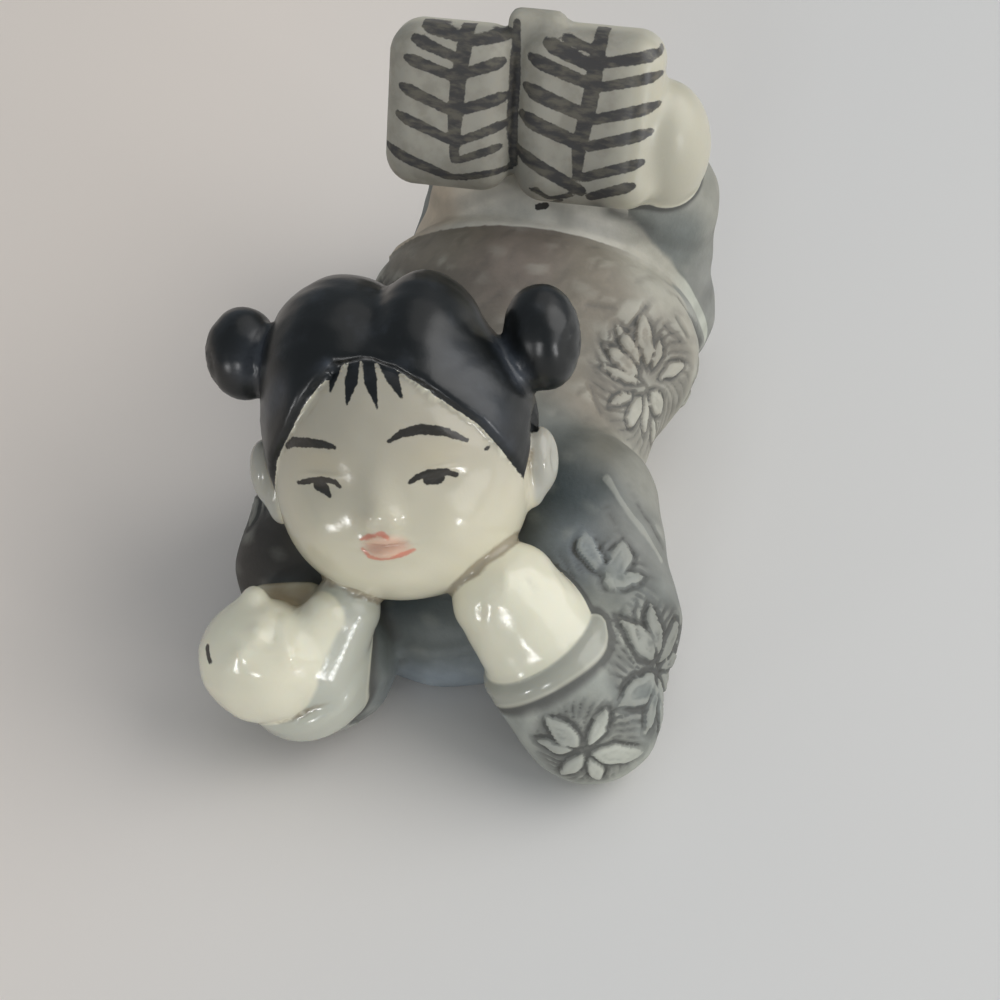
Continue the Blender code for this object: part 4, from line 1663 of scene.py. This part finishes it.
class Painter:
    """Adds shader nodes one after another."""

    def __init__(self, material: bpy.types.Material) -> None:
        """Starts on a material's node tree.

        Args:
            material: the material to paint.
        """
        material.use_nodes = True
        self.nodes = material.node_tree.nodes
        self.links = material.node_tree.links
        self.shader = self.nodes["Principled BSDF"]

    def map(self, name: str, vector: bool = False) -> Socket:
        """One of the piece's attributes.

        Args:
            name: the attribute's name.
            vector: whether it holds a colour.

        Returns:
            Its value.
        """
        node = self.nodes.new("ShaderNodeAttribute")
        node.attribute_name = name
        return node.outputs["Vector" if vector else "Fac"]

    def noise(self, size: float, detail: float = 4.0, stretch: Colour = (1.0, 1.0, 1.0)) -> Socket:
        """Cloudy noise in the piece's own space.

        Args:
            size: width of a cloud, metres.
            detail: levels of finer clouds.
            stretch: scale of the clouds' counts along each axis.

        Returns:
            The noise's value, about 0.5 in the mean.
        """
        place = self.nodes.new("ShaderNodeTexCoord")
        fit = self.nodes.new("ShaderNodeMapping")
        fit.inputs["Scale"].default_value = stretch
        self.links.new(place.outputs["Object"], fit.inputs["Vector"])
        cloud = self.nodes.new("ShaderNodeTexNoise")
        cloud.inputs["Scale"].default_value = 1.0 / size
        cloud.inputs["Detail"].default_value = detail
        cloud.inputs["Roughness"].default_value = 0.55
        self.links.new(fit.outputs["Vector"], cloud.inputs["Vector"])
        return cloud.outputs["Fac"]

    def across(self) -> Socket:
        """How far to her left a place is in the piece's own space, metres.

        Returns:
            The place's X.
        """
        place = self.nodes.new("ShaderNodeTexCoord")
        split = self.nodes.new("ShaderNodeSeparateXYZ")
        self.links.new(place.outputs["Object"], split.inputs[0])
        return split.outputs["X"]

    def maths(self, kind: str, one: Shade, other: Shade = 0.0, third: Shade = 0.0) -> Socket:
        """A sum, product or the like of sockets or numbers.

        Args:
            kind: Blender's name of the operation.
            one: the first value.
            other: the second.
            third: the third, for a sum after a product.

        Returns:
            The result.
        """
        node = self.nodes.new("ShaderNodeMath")
        node.operation = kind
        for slot, value in zip(node.inputs, (one, other, third)):
            if isinstance(value, (int, float)):
                slot.default_value = value
            else:
                self.links.new(value, slot)
        return node.outputs[0]

    def edge(self, value: Socket, start: float, end: float) -> Socket:
        """0 below start, 1 above end and smooth between.

        Args:
            value: what is compared.
            start: where it begins.
            end: where it is full.

        Returns:
            The share.
        """
        node = self.nodes.new("ShaderNodeMapRange")
        node.interpolation_type = "SMOOTHSTEP"
        node.inputs["From Min"].default_value = start
        node.inputs["From Max"].default_value = end
        self.links.new(value, node.inputs["Value"])
        return node.outputs["Result"]

    def mix(self, share: Shade, under: Shade, over: Shade, multiply: bool = False) -> Socket:
        """One colour over another.

        Args:
            share: how much of the upper colour shows.
            under: the lower colour, a socket or red, green and blue.
            over: the upper one.
            multiply: darkens the lower colour by the upper one instead of covering it.

        Returns:
            The mixed colour.
        """
        node = self.nodes.new("ShaderNodeMix")
        node.data_type = "RGBA"
        node.blend_type = "MULTIPLY" if multiply else "MIX"
        slots = (node.inputs["Factor"], node.inputs[6], node.inputs[7])
        for slot, value in zip(slots, (share, under, over)):
            if isinstance(value, tuple):
                slot.default_value = (*value, 1.0)
            elif isinstance(value, (int, float)):
                slot.default_value = value
            else:
                self.links.new(value, slot)
        return node.outputs[2]


@dataclass(frozen=True)
class PaintedResin:
    """Glossy ivory resin, stained and hand painted."""

    ivory: Colour = (0.73, 0.705, 0.565)
    ivory_warm: Colour = (0.66, 0.60, 0.45)
    face: Colour = (0.67, 0.63, 0.485)
    # colour of the painted shade on the upper face
    forehead_painted_shade: Colour = (0.35, 0.32, 0.265)
    # colour of the painted shade on the ears
    ear_painted_shade: Colour = (0.46, 0.46, 0.41)
    foot: Colour = (0.50, 0.475, 0.38)
    cuff: Colour = (0.370, 0.370, 0.315)
    # her right cuff's colour, painted paler than her left cuff as painted light
    right_cuff_painted_light: Colour = (0.490, 0.495, 0.425)
    hair: Colour = (0.004, 0.005, 0.005)
    # colour of the rubbed lacquer and of the painted sheen on the hair
    hair_worn_and_sheen: Colour = (0.045, 0.052, 0.064)
    cloth_wash: Colour = (0.075, 0.074, 0.067)
    # painted shade on the faces of the soles, and the grey of the tab
    sole_shade_and_tab: Colour = (0.350, 0.332, 0.280)
    sole_patch: Colour = (0.265, 0.250, 0.205)
    ink: Colour = (0.014, 0.012, 0.010)
    sole_ink: Colour = (0.037, 0.035, 0.036)
    sole_ink_brown: Colour = (0.110, 0.100, 0.078)
    socket: Colour = (0.50, 0.44, 0.31)
    # colour of the palm line and of the painted shadow under her left foot
    palm_line_and_painted_shadow: Colour = (0.080, 0.082, 0.076)
    cloth_worn: Colour = (0.60, 0.60, 0.52)
    cloth_patch: Colour = (0.62, 0.63, 0.62)   # multiplies the cloth's colour
    lip_red: Colour = (0.60, 0.17, 0.11)
    lip_tint: Colour = (0.68, 0.36, 0.26)
    # colour of the painted shade in the hollow of her right palm
    stain: Colour = (0.31, 0.245, 0.15)
    crevice: Colour = (0.24, 0.19, 0.12)
    gloss: float = 0.17              # roughness of the bare resin, and what paint adds to it
    cloth_matt: float = 0.43
    sole_matt: float = 0.40
    foot_matt: float = 0.16
    hair_matt: float = 0.14
    uneven_gloss: float = 0.12
    ior: float = 1.50
    glow: float = 0.30               # share of light that goes through the bare resin
    glow_depth: float = 0.0009       # metres
    glow_reach: Colour = (1.0, 0.72, 0.42)
    bump_depth: float = 0.00006

    def material(self) -> bpy.types.Material:
        """Makes the material.

        Returns:
            The material, ready for the figure.
        """
        material = bpy.data.materials.new("painted_resin")
        paint = Painter(material)
        colour = self.skin(paint)
        colour, cloth = self.cloth(paint, colour)
        colour = self.brushwork(paint, colour)
        colour, hair = self.hair_coat(paint, colour)
        shader = paint.shader
        paint.links.new(colour, shader.inputs["Base Color"])
        rough = self.gloss - self.uneven_gloss / 2.0
        coats = (
            (cloth, self.cloth_matt),
            (paint.map("sole_shade_and_tab"), self.sole_matt),
            (paint.map("on_feet"), self.foot_matt),
            (hair, self.hair_matt),
            (paint.noise(0.0022), self.uneven_gloss),
        )
        for coat, matt in coats:
            rough = paint.maths("MULTIPLY_ADD", coat, matt, rough)
        paint.links.new(rough, shader.inputs["Roughness"])
        shader.inputs["IOR"].default_value = self.ior
        shader.inputs["Subsurface Radius"].default_value = self.glow_reach
        shader.inputs["Subsurface Scale"].default_value = self.glow_depth
        dull = paint.maths("MAXIMUM", hair, paint.maths("MULTIPLY", cloth, 0.75))
        glow = paint.maths("MULTIPLY_ADD", dull, -self.glow, self.glow)
        paint.links.new(glow, shader.inputs["Subsurface Weight"])
        self.surface(paint, cloth)
        return material

    def skin(self, paint: Painter) -> Socket:
        """Ivory skin with its painted face, soles and hands.

        Args:
            paint: the painter.

        Returns:
            The colour of everything but cloth and hair.
        """
        clouds = paint.edge(paint.noise(0.006, 3.0), 0.40, 0.70)
        colour = paint.mix(paint.maths("MULTIPLY", clouds, 0.30), self.ivory, self.ivory_warm)
        colour = paint.mix(paint.map("on_feet"), colour, self.foot)
        colour = paint.mix(paint.map("face"), colour, self.face)
        # painted shade on the ears
        colour = paint.mix(paint.map("ear_painted_shade"), colour, self.ear_painted_shade)
        # painted shade over the upper face, strongest on the forehead
        colour = paint.mix(paint.maths("MULTIPLY", paint.map("upper_face_painted_shade"), 0.75), colour, self.forehead_painted_shade)
        colour = paint.mix(paint.maths("MULTIPLY", paint.map("socket"), 0.40), colour, self.socket)
        blotches = paint.maths("MULTIPLY", paint.edge(paint.noise(0.0016, 5.0), 0.42, 0.68), 0.8)
        # painted shade on the soles, and the grey tab
        colour = paint.mix(paint.map("sole_shade_and_tab"), colour, paint.mix(blotches, self.sole_shade_and_tab, self.sole_patch))
        cuff = paint.edge(paint.map("cuff_in"), -0.15, 0.15)
        # painted light: the cuffs are one ivory, her right one painted paler than her left
        colour = paint.mix(cuff, colour, paint.mix(paint.map("right_cuff_light_share"), self.cuff, self.right_cuff_painted_light))
        hollow = paint.edge(paint.map("crease"), 0.05, 0.34)
        colour = paint.mix(paint.maths("MULTIPLY", hollow, 0.75), colour, self.crevice)
        # painted shade in the hollow of her right palm
        colour = paint.mix(paint.maths("MULTIPLY", paint.map("stain"), 0.95), colour, self.stain)
        tint = paint.maths("MULTIPLY", paint.edge(paint.map("lip_area"), -0.10, 0.45), 0.60)
        colour = paint.mix(tint, colour, self.lip_tint)
        lips = paint.edge(paint.maths("ADD", paint.map("lips_in"), self.ragged(paint)), -0.10, 0.10)
        return paint.mix(paint.maths("MULTIPLY", lips, 0.75), colour, self.lip_red)

    def ragged(self, paint: Painter) -> Socket:
        """How far a brush stroke's edge wanders, in layout millimetres."""
        return paint.maths("MULTIPLY_ADD", paint.noise(0.0003, 2.0), 0.20, -0.10)

    def brushwork(self, paint: Painter, under: Socket) -> Socket:
        """Dark brush strokes on face, hand, soles and border, and a painted shadow under her left foot.

        Args:
            paint: the painter.
            under: the colour of everything under the strokes.

        Returns:
            The colour with the strokes on it.
        """
        ink = paint.edge(paint.maths("ADD", paint.map("ink_in"), self.ragged(paint)), -0.05, 0.05)
        grain = paint.edge(paint.noise(0.00035, 3.0, (1.0, 0.6, 1.6)), 0.42, 0.68)
        dark = paint.mix(paint.maths("MULTIPLY", grain, 0.30), self.ink, self.sole_ink)
        faded = paint.edge(paint.noise(0.0007, 4.0, (0.5, 1.0, 1.4)), 0.40, 0.66)
        dark = paint.mix(paint.map("on_feet"), dark, paint.mix(faded, self.sole_ink, self.sole_ink_brown))
        colour = paint.mix(paint.maths("MULTIPLY", ink, 0.96), under, dark)
        return paint.mix(paint.map("palm_line_and_painted_shadow"), colour, self.palm_line_and_painted_shadow)

    def cloth(self, paint: Painter, under: Socket) -> tuple[Socket, Socket]:
        """Carved cloth, stained brown grey and blue grey, with worn ridges and dark cuts.

        Args:
            paint: the painter.
            under: the colour of the bare resin.

        Returns:
            The colour with the cloth on it, and where the cloth is.
        """
        mottle = paint.edge(paint.noise(0.0022, 5.0), 0.30, 0.72)
        patches = paint.maths("MULTIPLY", mottle, 0.55)
        colour = paint.mix(patches, paint.map("tone", True), self.cloth_patch, True)
        trousers = paint.edge(paint.map("trousers_in"), -0.1, 0.1)
        leg = paint.mix(patches, paint.map("leg_tone", True), self.cloth_patch, True)
        colour = paint.mix(trousers, colour, leg)
        wash = paint.maths("ADD", paint.map("wash"), paint.edge(paint.map("hollow"), 0.03, 0.30))
        streak = paint.maths("MULTIPLY_ADD", paint.noise(0.0008, 3.0), 0.6, 0.62)
        wash = paint.maths("MULTIPLY", wash, streak)
        wash = paint.maths("ADD", wash, paint.edge(paint.map("cloth_in"), 0.50, 0.10))
        wash = paint.maths("MINIMUM", wash, 1.0)
        colour = paint.mix(paint.maths("MULTIPLY", wash, 0.90), colour, self.cloth_wash)
        worn = paint.edge(paint.map("raised"), 0.01, 0.07)
        colour = paint.mix(paint.maths("MULTIPLY", worn, 0.26), colour, self.cloth_worn)
        band = paint.edge(paint.map("band_in"), -0.08, 0.08)
        pale = paint.mix(patches, paint.map("band_tone", True), self.cloth_patch, True)
        pale = paint.mix(paint.maths("MULTIPLY", paint.map("wash"), 0.8), pale, self.cloth_wash)
        colour = paint.mix(band, colour, pale)
        cloth = paint.edge(paint.map("cloth_in"), -0.06, 0.06)
        return paint.mix(cloth, under, colour), cloth

    def hair_coat(self, paint: Painter, under: Socket) -> tuple[Socket, Socket]:
        """Near-black lacquer over the hair, rubbed lighter in places, with lighter lines that are partly painted
        sheen.

        Args:
            paint: the painter.
            under: the colour of everything else.

        Returns:
            The colour with the hair on it, and where the hair is.
        """
        hair = paint.edge(paint.maths("ADD", paint.map("hair_in"), self.ragged(paint)), -0.05, 0.05)
        rubbed_and_sheen = paint.maths("MULTIPLY", paint.edge(paint.noise(0.0020, 5.0), 0.50, 0.80), 0.35)
        patchy = paint.maths("MULTIPLY_ADD", paint.noise(0.0006, 4.0), 1.2, 0.35)
        # rubbed lacquer and painted sheen along the lines
        lines = paint.maths("MULTIPLY", paint.map("hair_wear_and_sheen"), patchy)
        rubbed_and_sheen = paint.maths("MINIMUM", paint.maths("MAXIMUM", rubbed_and_sheen, lines), 1.0)
        colour = paint.mix(rubbed_and_sheen, self.hair, self.hair_worn_and_sheen)
        return paint.mix(hair, under, colour), hair

    def surface(self, paint: Painter, cloth: Socket) -> None:
        """Fine unevenness of the casting and of the brushed paint.

        Args:
            paint: the painter.
            cloth: where the cloth is.
        """
        fine = paint.maths("MULTIPLY_ADD", paint.noise(0.0009, 4.0), 0.6, paint.noise(0.0003, 3.0))
        strength = paint.maths("MULTIPLY_ADD", cloth, 0.9, 0.35)
        bumps = paint.nodes.new("ShaderNodeBump")
        bumps.inputs["Strength"].default_value = 0.35
        bumps.inputs["Distance"].default_value = self.bump_depth
        paint.links.new(paint.maths("MULTIPLY", fine, strength), bumps.inputs["Height"])
        paint.links.new(bumps.outputs["Normal"], paint.shader.inputs["Normal"])


@dataclass(frozen=True)
class Lamp:
    """A soft round lamp that faces the figure: degrees round it and above the floor, metres and watts."""

    name: str
    azimuth: float
    elevation: float
    away: float
    size: float
    power: float
    colour: Colour = (1.0, 1.0, 1.0)


@dataclass
class Studio:
    """Pale floor, soft light and the camera, laid out round the figure's middle."""

    middle: Place
    azimuth: float = 17.0
    elevation: float = 47.0
    distance: float = 175.0
    target: Place = (4.0, 4.0, 11.0)
    half_view: float = 36.3
    sensor: float = 36.0
    floor_colour: Colour = (0.73, 0.715, 0.695)
    # painted warm light on the floor at her right side
    floor_painted_warm_light: Colour = (0.85, 0.765, 0.690)
    floor_size: float = 1.5
    floor_roughness: float = 0.6
    warm_until: float = -0.045       # metres to her left where the painted warm light on the floor ends
    cool_from: float = 0.020
    room_colour: Colour = (0.82, 0.91, 1.0)
    room_light: float = 0.315
    lamps: tuple[Lamp, ...] = (
        Lamp("window", 104.0, 36.0, 0.42, 0.50, 1.22, (1.0, 0.99, 0.97)),
        Lamp("ceiling", 150.0, 62.0, 0.70, 0.90, 1.00, (1.0, 0.965, 0.925)),
        Lamp("low", 66.0, 7.0, 0.60, 0.09, 0.55),
        Lamp("front", 4.0, 14.0, 0.60, 0.11, 0.54),
        Lamp("left", -28.0, 3.0, 0.60, 0.08, 0.42),
    )

    def place(self, spot: Place) -> Vector:
        """A layout place in metres."""
        return (Vector(spot) - Vector(self.middle)) * METRES

    def direction(self, azimuth: float, elevation: float) -> Vector:
        """The direction to something seen round the figure."""
        turn, rise = math.radians(azimuth), math.radians(elevation)
        return Vector((math.sin(turn) * math.cos(rise), -math.cos(turn) * math.cos(rise), math.sin(rise)))

    def camera(self) -> None:
        """Sets the camera at the photograph's viewing angle."""
        data = bpy.data.cameras.new("camera")
        data.sensor_fit = "HORIZONTAL"
        data.sensor_width = self.sensor
        data.lens = self.sensor / 2.0 * self.distance / self.half_view
        data.clip_start, data.clip_end = 0.01, 10.0
        back = self.direction(self.azimuth, self.elevation)
        camera = bpy.data.objects.new("camera", data)
        camera.location = self.place(self.target) + back * self.distance * METRES
        camera.rotation_mode = "QUATERNION"
        camera.rotation_quaternion = (-back).to_track_quat("-Z", "Y")
        bpy.context.scene.collection.objects.link(camera)
        bpy.context.scene.camera = camera

    def floor(self) -> None:
        """A pale floor, painted warmer and lighter towards her right: painted warm light from that side."""
        form = bmesh.new()
        bmesh.ops.create_grid(form, x_segments=1, y_segments=1, size=self.floor_size)
        mesh = bpy.data.meshes.new("floor")
        form.to_mesh(mesh)
        form.free()
        material = bpy.data.materials.new("floor")
        paint = Painter(material)
        # painted warm light: the floor warmer and lighter towards her right
        side = paint.edge(paint.across(), self.warm_until, self.cool_from)
        paint.links.new(paint.mix(side, self.floor_painted_warm_light, self.floor_colour), paint.shader.inputs["Base Color"])
        paint.shader.inputs["Roughness"].default_value = self.floor_roughness
        mesh.materials.append(material)
        floor = bpy.data.objects.new("floor", mesh)
        bpy.context.scene.collection.objects.link(floor)

    def hang(self, lamp: Lamp) -> None:
        """Hangs a lamp.

        Args:
            lamp: the lamp's place, size and light.
        """
        data = bpy.data.lights.new(lamp.name, "AREA")
        data.shape = "DISK"
        data.size = lamp.size
        data.energy = lamp.power
        data.color = lamp.colour
        back = self.direction(lamp.azimuth, lamp.elevation)
        holder = bpy.data.objects.new(lamp.name, data)
        holder.location = self.place(self.target) + back * lamp.away
        holder.rotation_mode = "QUATERNION"
        holder.rotation_quaternion = (-back).to_track_quat("-Z", "Y")
        bpy.context.scene.collection.objects.link(holder)

    def room(self) -> None:
        """The even light of the room."""
        world = bpy.data.worlds.new("room")
        world.use_nodes = True
        background = world.node_tree.nodes["Background"]
        background.inputs["Color"].default_value = (*self.room_colour, 1.0)
        background.inputs["Strength"].default_value = self.room_light
        bpy.context.scene.world = world
        bpy.context.scene.view_settings.view_transform = "Standard"

    def build(self) -> None:
        """Sets floor, camera, lamps and room."""
        self.floor()
        self.camera()
        for lamp in self.lamps:
            self.hang(lamp)
        self.room()


def main() -> None:
    """Builds the figure, dresses it and sets the studio."""
    logging.basicConfig(level=logging.INFO, format="%(name)s: %(message)s")
    girl = Girl()
    piece = girl.build()
    piece.data.materials.clear()
    piece.data.materials.append(PaintedResin().material())
    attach(piece, "root")
    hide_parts(NODE)
    triangles = sum(len(face.vertices) - 2 for face in piece.data.polygons)
    log.info("%s: %d triangles", piece.name, triangles)
    Studio(girl.middle).build()


if __name__ == "__main__":
    main()
